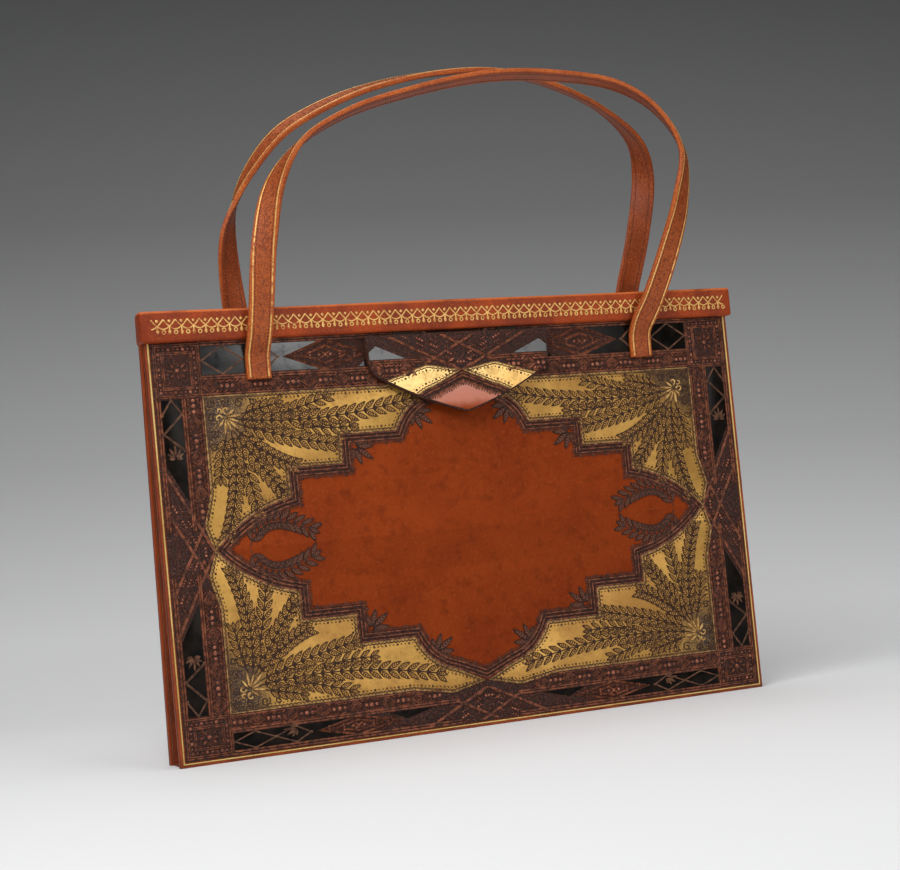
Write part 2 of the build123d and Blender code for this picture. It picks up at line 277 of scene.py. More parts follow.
def pick(*pieces):
    """Selects these pieces and nothing else, the first one active."""
    bpy.ops.object.select_all(action="DESELECT")
    for piece in pieces:
        piece.select_set(True)
    bpy.context.view_layer.objects.active = pieces[0]


def placed(piece, where):
    """Puts a piece in a place, with the place in its mesh."""
    pick(piece)
    piece.matrix_world = where
    bpy.ops.object.transform_apply()


def clad(piece, finish):
    """Gives a piece its finish."""
    piece.data.materials.append(finish)
    return piece


def fixed(piece, where, body, slot, *nodes):
    """Stands a drawn piece in the bag, on its body, in place of any nodes that it stands for."""
    placed(piece, where)
    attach(piece, body)
    if nodes:
        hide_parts(*nodes)


def edited(piece, operator, **settings):
    """Runs one mesh operator on the whole of a piece."""
    pick(piece)
    bpy.ops.object.mode_set(mode="EDIT")
    bpy.ops.mesh.select_all(action="SELECT")
    operator(**settings)
    bpy.ops.object.mode_set(mode="OBJECT")


def smooth(flat_angle):
    """Smooths the picked piece, all but its sharp edges."""
    bpy.ops.object.shade_smooth_by_angle(angle=math.radians(flat_angle))


def weld(piece, flat_angle):
    """Merges doubles, turns the faces outwards and smooths all but the sharp edges."""
    edited(piece, bpy.ops.mesh.remove_doubles, threshold=0.002)
    edited(piece, bpy.ops.mesh.normals_make_consistent, inside=False)
    smooth(flat_angle)


def drawn(name, lines, closed, settings):
    """A mesh made from a curve of straight runs with these settings."""
    drawing = bpy.data.curves.new(name, "CURVE")
    for setting, value in settings.items():
        setattr(drawing, setting, value)
    for line in lines:
        spline = drawing.splines.new("POLY")
        spline.points.add(len(line) - 1)
        for point, spot in zip(spline.points, line):
            point.co = spot + (1,)
        spline.use_cyclic_u = closed
    piece = bpy.data.objects.new(name, drawing)
    bpy.context.collection.objects.link(piece)
    pick(piece)
    bpy.ops.object.convert(target="MESH")
    return bpy.context.object


def plate(name, outlines, outside, inside, rounding):
    """A flat plate on the panel, from y = outside to y = inside. A loop inside another is a hole."""
    lines = [[(across, up, 0) for across, up in outline] for outline in outlines]
    piece = drawn(name, lines, True, {
        "dimensions": "2D",
        "fill_mode": "BOTH",
        "extrude": (inside - outside) / 2 - rounding,
        "bevel_depth": rounding,
        "offset": -rounding,
        "bevel_resolution": 1,
    })
    placed(piece, Matrix.Translation((0, (inside + outside) / 2, 0)) @ Matrix.Rotation(math.pi / 2, 4, "X"))
    weld(piece, 40)
    return piece


def merged(name, pieces):
    """One piece made of several."""
    pick(*pieces)
    if len(pieces) > 1:
        bpy.ops.object.join()
    piece = bpy.context.object
    piece.name = name
    piece.data.name = name
    return piece


def box_outline(left, right, low, high):
    return [(left, low), (right, low), (right, high), (left, high)]


catch_window = box_outline(-5.3, 5.3, 164.55, 172.25)
panel_edge = box_outline(-panel_half, panel_half, floor_trim, tongue_top)
turn_in = box_outline(-panel_half + cover_leather, panel_half - cover_leather,
                      cover_leather, tongue_top - cover_leather)


def cover(name, windows):
    """The leather of one panel: a thin face, and a full edge where it is turned in."""
    face = plate(name, [panel_edge] + windows, face_sink, cover_leather + face_lap, face_round)
    rim = plate(name, [panel_edge, turn_in], 0, panel_depth, rim_round)
    return merged(name, [face, rim])


def tan_leather(name, base, dark, pale, grain, gloss, wear_and_highlight_from=0.0):
    """Vegetable-tanned leather: pebbled grain, cloudy colour and a sheen, and paler above a height where one
    is given: partly rubbed wear, partly a painted highlight along the top.
    """
    material, surface, place = new_material(name)
    cloud = place.noise(0.07, 4)
    speck = place.noise(1.4, 2)
    pebble = place.cells(grain)
    colour = cloud.clear(0.35, 0.68).blend(linear(*dark), linear(*base))
    colour = (speck.clear(0.5, 0.8) * 0.5).blend(colour, linear(*pale))
    colour = (pebble.clear(0.35, 0.75) * 0.5).blend(colour, linear(*dark))
    # Above the height the leather turns paler: partly wear, partly a painted highlight along the top edge.
    if wear_and_highlight_from:
        wear_and_highlight = (place.part(2) + speck * 0.8).clear(wear_and_highlight_from, wear_and_highlight_from + 0.7) * cloud.clear(0.2, 0.5)
        colour = (wear_and_highlight * 0.8).blend(colour, linear(*pale))
    dress(surface, {
        "Base Color": colour,
        "Roughness": cloud * 0.18 + (gloss - 0.06),
        "Normal": bumped(pebble * -0.7 + speck * 0.6, 0.35, 0.0002),
        "Specular IOR Level": 0.2,
    })
    return material


edge_leather = tan_leather("edge_leather", (165, 72, 30), (118, 48, 22), (196, 102, 52), 2.2, 0.46)
front_cover = clad(cover("front_cover", [catch_window]), edge_leather)
fixed(front_cover, front_frame, "front", "tooled_leather", "front_leather")

# Tooled border of the front
# A frame of dark brown leather with stamped ground, raised rules, beads and small leaves. It has a star block
# at each corner, crossing bands in the middle of each side, lozenges and panels of black lacquer between.
centre_up = 86.5
field_half = 117.5
field_top = 64.0
field_low = 67.0
tip_reach = 118.0
crown_reach = 66.4
shoulder = (83.0, 20.0)
side_bow = (102.4, 12.8)
first_step = (83.0, 32.3)
second_step = (58.4, 44.8)
neck = (32.2, 44.8)
crown_bow = (25.0, 54.8)
crown_end = (14.0, 60.5)
waist = (121.3, 10.5)
waist_end = 24.0
brow_start = 35.0
brow_end = 16.5
brow_lift = {1: 5.6, -1: 3.2}
field_edge = {1: field_top, -1: field_low}
field_middle = centre_up + (field_top - field_low) / 2
quarters = [(right, up) for right in (-1, 1) for up in (-1, 1)]


def arc(start, through, end, pieces):
    """Points from start on the circle through three points, without the end."""
    (ax, ay), (bx, by), (cx, cy) = start, through, end
    twice = 2 * (ax * (by - cy) + bx * (cy - ay) + cx * (ay - by))
    a, b, c = ax * ax + ay * ay, bx * bx + by * by, cx * cx + cy * cy
    mx = (a * (by - cy) + b * (cy - ay) + c * (ay - by)) / twice
    my = (a * (cx - bx) + b * (ax - cx) + c * (bx - ax)) / twice
    radius = math.hypot(ax - mx, ay - my)
    first = math.atan2(ay - my, ax - mx)
    swing = (math.atan2(cy - my, cx - mx) - first + math.pi) % (2 * math.pi) - math.pi
    turns = [first + swing * step / pieces for step in range(pieces)]
    return [(mx + radius * math.cos(t), my + radius * math.sin(t)) for t in turns]


def medallion_quarter():
    """From the side tip up to the end of the crown's bow."""
    side = arc((tip_reach, 0), side_bow, shoulder, 10)
    steps = [shoulder, first_step, (second_step[0], first_step[1]), second_step]
    return side + steps + arc(neck, crown_bow, crown_end, 8) + [crown_end]


def medallion_outline():
    """The whole medallion, anticlockwise, from its right tip."""
    tip, *rest = medallion_quarter()
    upper = [tip] + rest + [(0, crown_reach)] + [(-x, h) for x, h in reversed(rest)]
    return upper + [(-x, -h) for x, h in upper]


def field_quarter(up):
    """The outer edge of one gold corner, from the side tip to near the crown."""
    edge = field_edge[up]
    return [(tip_reach, 0), waist, (field_half, waist_end), (field_half, edge), (brow_start, edge),
            (brow_end, edge + brow_lift[up])]


def field_outline():
    """The gold corners and the medallion together, anticlockwise."""
    above, below = field_quarter(1), field_quarter(-1)[1:]
    points = above + [(0, crown_reach)] + [(-x, h) for x, h in reversed(above)]
    return points + [(-x, -h) for x, h in below] + [(0, -crown_reach)] + [(x, -h) for x, h in reversed(below)]


def gold_corner(right, up):
    """One gold corner: the field's edge, then back along the medallion."""
    points = field_quarter(up) + [(0.8, crown_reach + 0.3)] + medallion_quarter()[:0:-1]
    points = [(right * x, up * h) for x, h in points]
    return points if right * up > 0 else points[::-1]


def inset(points, depth):
    """An anticlockwise outline moved inwards, or outwards where depth is below 0."""
    moved = []
    for before, at, after in zip(points[-1:] + points[:-1], points, points[1:] + points[:1]):
        one = (Vector(at) - Vector(before)).normalized()
        two = (Vector(after) - Vector(at)).normalized()
        one, two = Vector((-one.y, one.x)), Vector((-two.y, two.x))
        shift = (one + two) / max(1 + one.dot(two), 0.35) * depth
        moved.append((at[0] + shift.x, at[1] + shift.y))
    return moved


def lifted(points, rise=centre_up):
    """From heights about the medallion's middle to heights over the panel's lower edge."""
    return [(across, up + rise) for across, up in points]


def ridges(name, lines, radius, level, closed=False, rise=centre_up):
    """Raised lines on the panel, flatter than round, in one piece."""
    lines = [[(across, 0, up + rise) for across, up in line] for line in lines]
    piece = drawn(name, lines, closed, {
        "dimensions": "3D",
        "bevel_depth": radius,
        "bevel_resolution": 1,
        "use_fill_caps": True,
    })
    placed(piece, Matrix.Translation((0, level, 0)) @ Matrix.Diagonal((1, 0.7, 1, 1)))
    weld(piece, 60)
    return piece


def scattered(name, punch, places, level, rise=centre_up):
    """Copies of one small shape, in thin layers so that no two share a face. A place is across, up, turn in
    degrees, length and width."""
    batch_size = 400
    layers = 7
    layer_step = 0.012
    done = []
    for first in range(0, len(places), batch_size):
        batch = []
        for count, (across, up, turned, length, width) in enumerate(places[first:first + batch_size]):
            copy = punch.copy()
            copy.data = punch.data.copy()
            copy.hide_render = False
            bpy.context.collection.objects.link(copy)
            out = level - layer_step * (count % layers)
            copy.matrix_world = (Matrix.Translation((across, out, up + rise))
                                 @ Matrix.Rotation(-math.radians(turned), 4, "Y")
                                 @ Matrix.Diagonal((length, 1, width, 1)))
            batch.append(copy)
        pick(*batch)
        bpy.ops.object.transform_apply()
        done.append(merged(name, batch))
    piece = merged(name, done)
    smooth(50)
    return piece


def facing_out(piece):
    """Turns a small shape modelled lying down so that it faces out of the panel."""
    placed(piece, Matrix.Rotation(math.pi / 2, 4, "X"))
    piece.hide_render = True


# Two punches make all the small relief: a flat bead, and a leaf with a sunk face. The leaf is cut down its
# middle, so that the strokes of its finish slant both ways.
bpy.ops.object.select_all(action="DESELECT")
bpy.ops.mesh.primitive_ico_sphere_add(subdivisions=1, radius=0.5)
bead = bpy.context.object
bead.name = "bead_punch"
bead.scale = (1, 1, 0.6)
bpy.ops.object.transform_apply()
facing_out(bead)

bpy.ops.object.select_all(action="DESELECT")
bpy.ops.mesh.primitive_cone_add(vertices=8, radius1=0.5, radius2=0.42, depth=0.5)
leaf = bpy.context.object
leaf.name = "leaf_punch"
for vertex in leaf.data.vertices:
    if abs(vertex.co.x) > 0.28 and abs(vertex.co.y) > 0.1:
        vertex.co.y *= 0.72
choose(leaf, "polygons", lambda face: face.normal.z > 0.9)
bpy.ops.mesh.inset(thickness=0.13)
bpy.ops.transform.translate(value=(0, 0, -0.16))
bpy.ops.mesh.select_all(action="SELECT")
bpy.ops.mesh.bisect(plane_co=(0, 0, 0), plane_no=(0, 1, 0))
bpy.ops.object.mode_set(mode="OBJECT")
hollow = leaf.data.attributes.new("hollow", "FLOAT", "POINT")
hollow.data.foreach_set("value", [float(0 < v.co.z < 0.2) for v in leaf.data.vertices])
vein = leaf.data.attributes.new("vein", "FLOAT", "POINT")
vein.data.foreach_set("value", [v.co.x - 0.35 * abs(v.co.y) for v in leaf.data.vertices])
facing_out(leaf)


def heading_of(start, end):
    return math.degrees(math.atan2(end[1] - start[1], end[0] - start[0]))


def polar(spot, heading, reach):
    """The place at a reach from a spot, along a heading in degrees."""
    turned = math.radians(heading)
    return (spot[0] + reach * math.cos(turned), spot[1] + reach * math.sin(turned))


def fan(spot, heading, blades, near, share):
    """Leaves that spread from a spot. A blade is its turn from the heading, its length and its width."""
    return [polar(spot, heading + turned, near + share * length) + (heading + turned, length, width)
            for turned, length, width in blades]


def leaf_row(start, bend, end, pairs, length, width, spread=38.0, taper=0.45):
    """A spray: leaves in pairs along a bowed stem, smaller towards the tip. Gives leaves and stem."""

    def bowed(s):
        return tuple((1 - s) ** 2 * a + 2 * s * (1 - s) * b + s * s * c for a, b, c in zip(start, bend, end))

    pieces = 24
    stem = [bowed(step / pieces) for step in range(pieces + 1)]
    places = []
    for pair in range(pairs):
        s = (pair + 0.6) / (pairs + 0.2)
        run = [2 * (1 - s) * (b - a) + 2 * s * (c - b) for a, b, c in zip(start, bend, end)]
        size = length * (1 - taper * s) * (0.75 + 0.25 * min(1, 4 * s))
        for side in (1, -1):
            turned = heading_of((0, 0), run) + side * spread
            places.append(polar(bowed(s), turned, 0.52 * size) + (turned, size, width))
    places.append((end[0], end[1], heading_of(bend, end), length * (1 - taper), width))
    return places, stem


def along(points, pitch, closed=True):
    """Places every pitch along a line, each with the heading there."""
    ends = points[1:] + points[:1] if closed else points[1:]
    places, carry = [], 0.0
    for start, end in zip(points, ends):
        run = Vector(end) - Vector(start)
        heading = math.degrees(math.atan2(run.y, run.x))
        while carry < run.length:
            spot = Vector(start) + run.normalized() * carry
            places.append((spot.x, spot.y, heading))
            carry += pitch
        carry -= run.length
    return places


def beaded(line, pitch, small, large, every):
    """Beads along an outline, one in so many a large one."""
    places = []
    for step, (x, h, heading) in enumerate(along(line, pitch)):
        size = small if step % every else large
        places.append((x, h, heading, size, size))
    return places


def triple(spot, heading, size, pitch):
    """Three beads in a row."""
    step = (math.cos(math.radians(heading)) * pitch, math.sin(math.radians(heading)) * pitch)
    return [(spot[0] + k * step[0], spot[1] + k * step[1], 0, size, size) for k in (-1, 0, 1)]


def diamond(at, t, d, half_along, half_out):
    return [at(t + half_along, d), at(t, d + half_out), at(t - half_along, d), at(t, d - half_out)]


def lozenge(at, near, far, low, high):
    """A tooled lozenge between near and far along a side, nested rules with beads and leaves."""
    middle = ((near + far) / 2, (low + high) / 2)
    half = ((far - near) / 2, (high - low) / 2)
    for share in (1.0, 0.9, 0.58, 0.5):
        lozenge_lines.append(diamond(at, *middle, half[0] * share, half[1] * share))
    spot = at(*middle)
    heading = heading_of(spot, at(middle[0] + 1, middle[1]))
    saltire = [(turned, 2.6, 1.0) for turned in (35, -35, 145, -145)]
    border_leaves.extend(fan(spot, heading, saltire, 0, 0.55))
    for share in (-0.72, -0.36, 0.36, 0.72):
        border_beads.extend(triple(at(middle[0] + half[0] * share, middle[1]), heading + 90, 0.9, 1.2))
    border_beads.extend(triple(spot, heading, 1.5, 2.6))


# Each side of the border is laid out by how far along it a point is from its middle, and how far out from
# the gold field. It has an inner track and an outer rim, and runs between two ends. A long or short side's
# measures are half the gap in its tracks, where the crossing bands' inner rules start, how far out their
# outer rules cross, their slope, and their rows of beads.
top_rim = 22.6
low_rim = 16.6
side_rim = 19.6
long_ends = (-field_half, field_half)
long_measures = (14.0, (16.5, 6.2), 2.4, 0.5, 5)
short_measures = (9.0, (10.5, 3.8), 0.5, 0.55, 3)
border_sides = [
    (lambda t, d: (t, field_top + d), 7.8, top_rim, long_ends, long_measures),
    (lambda t, d: (-t, -field_low - d), 7.0, low_rim, long_ends, long_measures),
    (lambda t, d: (field_half + d, -t), 8.3, side_rim, (-field_top, field_low), short_measures),
    (lambda t, d: (-field_half - d, t), 8.3, side_rim, (-field_low, field_top), short_measures),
]
stamp_pitch = 15.0
palmette = [(-84, 3.0, 1.35), (-56, 4.2, 1.35), (-28, 5.2, 1.35), (0, 5.8, 1.35),
            (28, 5.2, 1.35), (56, 4.2, 1.35), (84, 3.0, 1.35)]
border_lines = []
lozenge_lines = []
stamped_lines = []
lattice_lines = []
border_beads = []
border_leaves = []
lacquer_panels = []
lacquer_beads = []
lacquer_leaves = []

for at, track, rim, ends, measures in border_sides:
    gap, peak, cross, slope, bead_rows = measures
    is_long = measures is long_measures
    heading = heading_of(at(0, 0), at(1, 0))
    for start, end in ((ends[0], -gap), (gap, ends[1])):
        for d in (track - 0.5, track + 0.5, rim, rim - 1.1):
            border_lines.append([at(start, d), at(end, d)])
        border_lines.append([at(math.copysign(max(abs(t), 2.5 * gap), t), 0.9) for t in (start, end)])

    # Stamps along the track, in turn three beads between leaves, and nested diamonds.
    span = ends[1] - ends[0]
    count = 2 * round(span / stamp_pitch)
    middle = track / 2 + 0.2
    for step in range(count):
        t = ends[0] + span * (step + 0.5) / count
        if abs(t) < 1.6 * gap:
            continue
        if step % 2:
            border_beads.append(at(t, middle) + (0, 2.0, 2.0))
        else:
            for share in (1.0, 0.7, 0.35):
                stamped_lines.append(diamond(at, t, middle, -3.6 * share, 2.8 * share))
        for sway in (-1, 1):
            if step % 2:
                border_beads.append(at(t + 2.4 * sway, middle) + (0, 1.6, 1.6))
                for far in (-2.4, 0.0, 2.4):
                    for up in (1, -1):
                        spot = at(t + far + 0.6 * sway, middle + 2.1 * up)
                        border_leaves.append(spot + (heading + 40 * sway * up, 1.8, 0.7))
            else:
                for up in (-1, 1):
                    spot = at(t + 2.8 * sway, middle + 2.2 * up)
                    border_leaves.append(spot + (heading - 42 * sway * up, 2.2, 0.8))

    # On each half, the crossing bands with their beads, then the lacquer with its lattice and palmette.
    low, high = track + 1.2, rim - 1.7
    middle = (low + high) / 2
    for way in (-1, 1):
        reach = ends[1] if way > 0 else -ends[0]
        far = (rim - cross) / slope
        far_in = (rim - peak[1]) / slope - peak[0]
        for shift in (0, 1.0):
            border_lines.append([at(way * shift, cross + 0.3), at(way * (far + shift), rim)])
            border_lines.append([at(-way * (peak[0] + shift), peak[1]), at(way * (far_in - shift), rim)])
        tilt = heading + way * math.degrees(math.atan2(slope, 1))
        for step in range(1, bead_rows + 1):
            t = way * (6.5 * step - 1)
            d = cross + 5.6 + slope * abs(t) * 0.98
            if d < rim - 2:
                border_beads.extend(triple(at(t, d), tilt, 1.1, 1.4))
                for sway in (-2.4, 2.4):
                    border_beads.extend(triple(at(t, d + sway), tilt, 0.7, 1.2))
        if is_long:
            lozenge(lambda t, d, at=at, way=way: at(way * t, d), 43.0, 80.5, low - 0.8, high + 0.8)
            panels = [[(reach - 0.6, low), (reach - 0.6, high), (64.0, high), (81.0, middle), (64.0, low)],
                      [(26.0, low), (47.0, low), (39.5, low + 0.5 * (high - low))]]
            turns = [reach - 1, reach - 10, reach - 19, reach - 28, 83.0]
            zigzag = [(t, (middle, low)[k % 2]) for k, t in enumerate(turns)]
            zagzig = [(t, (middle, high)[k % 2]) for k, t in enumerate(turns)]
            sprig = at(way * (reach - 28), low + 1.0)
        else:
            panels = [[(reach - 0.6, low), (reach - 0.6, high), (36.0, high), (21.0, low)]]
            zigzag = [(reach - 1, middle), (reach - 7, low), (reach - 15, high), (reach - 22, low)]
            zagzig = [(reach - 1, middle), (reach - 7, high)]
            sprig = at(way * (reach - 25), middle)
        lacquer_panels.extend([at(way * t, d) for t, d in panel] for panel in panels)
        for line in (zigzag, zagzig):
            for start, end in zip(line, line[1:]):
                for shift in (0, 0.7):
                    lattice_lines.append([at(way * (t + shift), d) for t, d in (start, end)])
            for t, d in line[1:]:
                lacquer_beads.append(at(way * t, d) + (0, 1.3, 1.3))
        lacquer_leaves.extend(fan(sprig, heading_of(at(way * 40.0, 0), at(way * 41.0, 0)), palmette, 0, 0.55))

    # The crossing itself: a saltire of leaves about three beads.
    for out, turned in ((5.0, 25), (2.8, -25)):
        for sway in (-1, 1):
            border_leaves.append(at(4.2 * sway, cross + out) + (heading - turned * sway, 3.6, 1.2))
    border_beads.extend(triple(at(0, cross + 4.0), heading, 1.2, 1.5))

block_out = 9.9
block_squares = ((9.7, 0.3), (8.9, 1.1), (6.4, 3.6), (5.7, 4.3))
block_rail = (7.7, 2.4)
star_reach = (3.2, 2.8)


def about(middle, half_across, half_up):
    """A box about its middle."""
    across, up = middle
    return box_outline(across - half_across, across + half_across, up - half_up, up + half_up)


for right, up in quarters:
    half_up = (top_rim if up > 0 else low_rim) / 2
    middle = (right * (field_half + block_out), up * (field_edge[up] + half_up))
    for half_across, margin in block_squares:
        lozenge_lines.append(about(middle, half_across, half_up - margin))
    for turned in range(0, 360, 45):
        border_leaves.append((middle[0] + star_reach[0] * math.cos(math.radians(turned)),
                              middle[1] + star_reach[1] * math.sin(math.radians(turned)), turned, 2.4, 1.0))
    border_beads.append((middle[0], middle[1], 0, 1.9, 1.9))
    rail = about(middle, block_rail[0], half_up - block_rail[1])
    border_beads.extend((x, h, 0, *size) for x, h, turned, *size in beaded(rail, 2.1, 0.8, 1.5, 3))

border_edge = box_outline(-138.2, 138.2, 2.2, panel_top - 0.1)
border_field = inset(field_outline(), -0.1)
border_frame = plate("border_frame", [border_edge, lifted(border_field), catch_window], 0.0, 0.5, 0.1)


def tooled_leather():
    """Dark dyed leather, stamped all over with small curls, with a reddish painted highlight on their crests
    and painted shade in their grooves.
    """
    material, surface, place = new_material("tooled_brown")
    ring = (place.cells(0.62) * 17.0).of("SINE")
    fine = place.noise(2.2, 2)
    cloud = place.noise(0.05, 3)
    crest = (ring * 0.5 + fine).clear(0.55, 1.0)
    colour = cloud.clear(0.3, 0.7).blend(linear(40, 18, 11), linear(56, 26, 15))
    # Reddish on the curls' crests is a painted highlight, and near black in their grooves is painted shade.
    colour = (crest * 0.55).blend(colour, linear(116, 56, 33))
    colour = ((0 - ring).clear(0.3, 0.95) * 0.6).blend(colour, linear(20, 11, 8))
    dress(surface, {
        "Base Color": colour,
        "Roughness": fine * 0.25 + 0.36,
        "Normal": bumped(ring * 0.5 + fine * 0.6, 0.8, 0.0004),
        "Specular IOR Level": 0.34,
    })
    return material


def raised_leather(name, base, crest):
    """Raised tooling: dyed leather rubbed lighter on its crests."""
    material, surface, place = new_material(name)
    rub = place.noise(0.5, 3)
    fine = place.noise(4.0, 2)
    dress(surface, {
        "Base Color": rub.clear(0.35, 0.7).blend(linear(*base), linear(*crest)),
        "Roughness": fine * 0.2 + 0.34,
        "Normal": bumped(fine, 0.3, 0.0001),
        "Specular IOR Level": 0.25,
    })
    return material


def lacquered(name, sheen, polished=False):
    """Black lacquer, smeared and finely scratched, with a brighter gloss where hands polish it."""
    material, surface, place = new_material(name)
    smear = place.noise(0.16, 3)
    scratch = place.noise(3.0, 2)
    dress(surface, {
        "Base Color": smear.clear(0.35, 0.75).blend(linear(12, 10, 8), linear(32, 24, 18)),
        "Roughness": smear * 0.16 + 0.16,
        "Normal": bumped(scratch * 0.5 + smear, 0.2, 0.0003),
        "Specular IOR Level": sheen,
    })
    if polished:
        dress(surface, {
            "Coat Weight": (smear + scratch * 0.25).clear(0.26, 0.6) * 0.68,
            "Coat Roughness": 0.26,
            "Coat IOR": 1.8,
        })
    return material


tooled_brown = tooled_leather()
# The rules are a lighter brown than the stamped ground: a painted highlight where light catches the raised
# lines.
rule_brown = raised_leather("rule_brown", (70, 36, 23), (142, 80, 52))
bead_brown = raised_leather("bead_brown", (108, 60, 43), (178, 108, 80))
lattice_brown = raised_leather("lattice_brown", (70, 43, 29), (118, 78, 54))
lacquer_black = lacquered("lacquer_black", 0.08)
lacquer_glossy = lacquered("lacquer_glossy", 0.14, polished=True)

clad(border_frame, tooled_brown)
border_rules = merged("border_rules", [
    ridges("border_rules", border_lines, 0.4, -0.1),
    ridges("border_lozenges", lozenge_lines, 0.36, -0.08, closed=True),
    ridges("border_stamps", stamped_lines, 0.28, -0.06, closed=True),
])
clad(border_rules, rule_brown)
border_studs = clad(scattered("border_studs", bead, border_beads, -0.05), bead_brown)
border_foliage = clad(scattered("border_foliage", leaf, border_leaves, -0.12), rule_brown)
lacquer = []
for panel in lacquer_panels:
    handled = panel[0][0] < 0 and min(up for across, up in panel) > field_top
    piece = plate("lacquer_panels", [lifted(panel)], -0.1, 0.1, 0.05)
    lacquer.append(clad(piece, lacquer_glossy if handled else lacquer_black))
lacquer = merged("lacquer_panels", lacquer)
lattice = merged("lacquer_lattice", [
    ridges("lacquer_lattice", lattice_lines, 0.19, -0.12),
    scattered("lacquer_knots", bead, lacquer_beads, -0.12),
    scattered("lacquer_palmettes", leaf, lacquer_leaves, -0.1),
])
clad(lattice, lattice_brown)
for piece in (border_frame, border_rules, border_studs, border_foliage, lacquer, lattice):
    fixed(piece, front_frame, "front", "tooled_leather")

# Gold corners
# The four corners of the field are gilt leather, sunk a little. Leaf sprays tooled in brown fan out from a
# rosette in each corner, and a scalloped and beaded edge runs round the gold.
spray_rows = [
    ((13, 10), (52, 15.5), (96, 5.5), 19, 9.2, 2.6),
    ((26, 10.0), (40, 8.0), (55, 2.8), 7, 8.0, 2.5),
    ((40, 13.5), (52, 17.5), (66, 16.0), 6, 7.4, 2.4),
    ((14, 12), (36, 20.0), (58, 23.5), 11, 8.8, 2.6),
    ((13, 14), (25, 27), (37, 30.5), 9, 8.6, 2.6),
    ((12, 15), (23, 31), (32, 42.5), 9, 8.6, 2.5),
    ((15, 26), (18, 38), (20, 50.0), 6, 8.0, 2.4),
    ((11, 15), (14, 38), (5.5, 58), 12, 8.6, 2.5),
    ((9, 16), (6, 25), (4.6, 35), 5, 7.4, 2.4),
    ((16, 8), (23, 6.5), (33, 4.2), 5, 7.0, 2.4),
]
spray_spread = 30.0
spray_taper = 0.25
rosette_spot = (9.0, 9.0)
rosette_blades = [(0, 7.4, 1.1), (-24, 5.6, 0.9), (24, 5.6, 0.9), (-50, 6.8, 1.1), (50, 6.8, 1.1),
                  (-82, 4.4, 1.0), (82, 4.4, 1.0)]
rosette_curls = [(-125, 3.0, 1.7, 4.6), (125, 3.0, 1.7, -4.6), (180, 3.8, 1.3, 4.6)]
ground_curls = [((3.6, 15.5), 2.2, 8.0), ((15.5, 3.4), 2.2, -8.0), ((3.0, 3.0), 1.9, 8.0),
                ((3.2, 9.0), 1.9, -8.0), ((9.0, 3.0), 1.9, 8.0), ((21.5, 3.0), 1.7, 8.0),
                ((3.2, 21.5), 1.8, -8.0)]
spray_leaves = []
spray_stems = []
gold_edges = []
gold_plates = []
petals = []
scrolls = []
dark_scrolls = []
scallops = []
rims = []


def scalloped(outline, depth, swing, pitch):
    """A line of small arches inside an outline."""
    stride = 0.5
    line = []
    for step, (x, h, heading) in enumerate(along(inset(outline, depth), stride)):
        line.append(polar((x, h), heading + 90, swing * abs(math.sin(math.pi * step * stride / pitch))))
    return line


def corner_point(right, up, spot):
    """A place given in from the field's corner, along its long and short edges."""
    return (right * (field_half - spot[0]), up * (field_edge[up] - spot[1]))


def scroll(middle, radius, first, turns):
    """A small spiral."""
    line = []
    for step in range(15):
        share = step / 14
        line.append((middle[0] + radius * (1 - 0.8 * share) * math.cos(first + turns * share),
                     middle[1] + radius * (1 - 0.8 * share) * math.sin(first + turns * share)))
    return line


for right, up in quarters:
    outline = gold_corner(right, up)
    gold_plates.append(plate("gold_corner", [lifted(inset(outline, 0.3))], 0.08, 0.5, 0.06))
    rims.append(inset(outline, 0.05))
    scallops.append(scalloped(outline, 0.45, 0.7, 1.7))
    gold_edges.extend(beaded(inset(outline, 2.1), 1.8, 0.7, 1.2, 3))
    for *spots, pairs, length, width in spray_rows:
        stations = [corner_point(right, up, spot) for spot in spots]
        leaves, stem = leaf_row(*stations, pairs, length, width, spray_spread, spray_taper)
        spray_leaves.extend(leaves)
        spray_stems.append(stem)
    middle = corner_point(right, up, rosette_spot)
    inward = math.degrees(math.atan2(-up, -right))
    petals.extend(fan(middle, inward, rosette_blades, 0.8, 0.5))
    for turned, far, radius, turns in rosette_curls:
        spot = polar(middle, inward + turned, far)
        scrolls.append(scroll(spot, radius, math.radians(inward + turned) + math.pi, turns))
    for spot, radius, turns in ground_curls:
        dark_scrolls.append(scroll(corner_point(right, up, spot), radius, 0.6, turns * right * up))


def gilt(name, bright, dull, sheen, metal=0.45, stippled=False):
    """Gold leaf on leather: bright where it is whole, thin and brown where it is rubbed or stippled."""
    material, surface, place = new_material(name)
    cloud = place.noise(0.03, 3)
    rub = place.noise(0.7, 4, 0.65)
    fine = place.noise(3.2, 2)
    patch = place.noise(0.14, 4, 0.6)
    colour = cloud.clear(0.3, 0.7).blend(linear(*dull), linear(*bright))
    colour = (patch.clear(0.5, 0.72) * 0.45).blend(colour, linear(142, 98, 38))
    colour = (rub.clear(0.52, 0.76) * 0.5).blend(colour, linear(112, 78, 32))
    height = rub * 0.6 + fine * 0.5
    if stippled:
        aside = field_half - place.part(0).of("ABSOLUTE")
        below = (field_top + field_low) / 2 - (place.part(2) - field_middle).of("ABSOLUTE")
        near = (aside * aside + below * below * 0.8).of("SQRT")
        trodden = 1 - (near + cloud * 36.0).clear(28.0, 47.0)
        pits = trodden * place.cells(1.8).clear(0.22, 0.4)
        colour = pits.blend(colour, linear(58, 38, 26))
        height = height - pits * 1.2
        metal = metal - pits * 0.4
    dress(surface, {
        "Base Color": colour,
        "Metallic": metal,
        "Roughness": rub * 0.25 + sheen,
        "Normal": bumped(height, 0.35, 0.0002),
    })
    return material


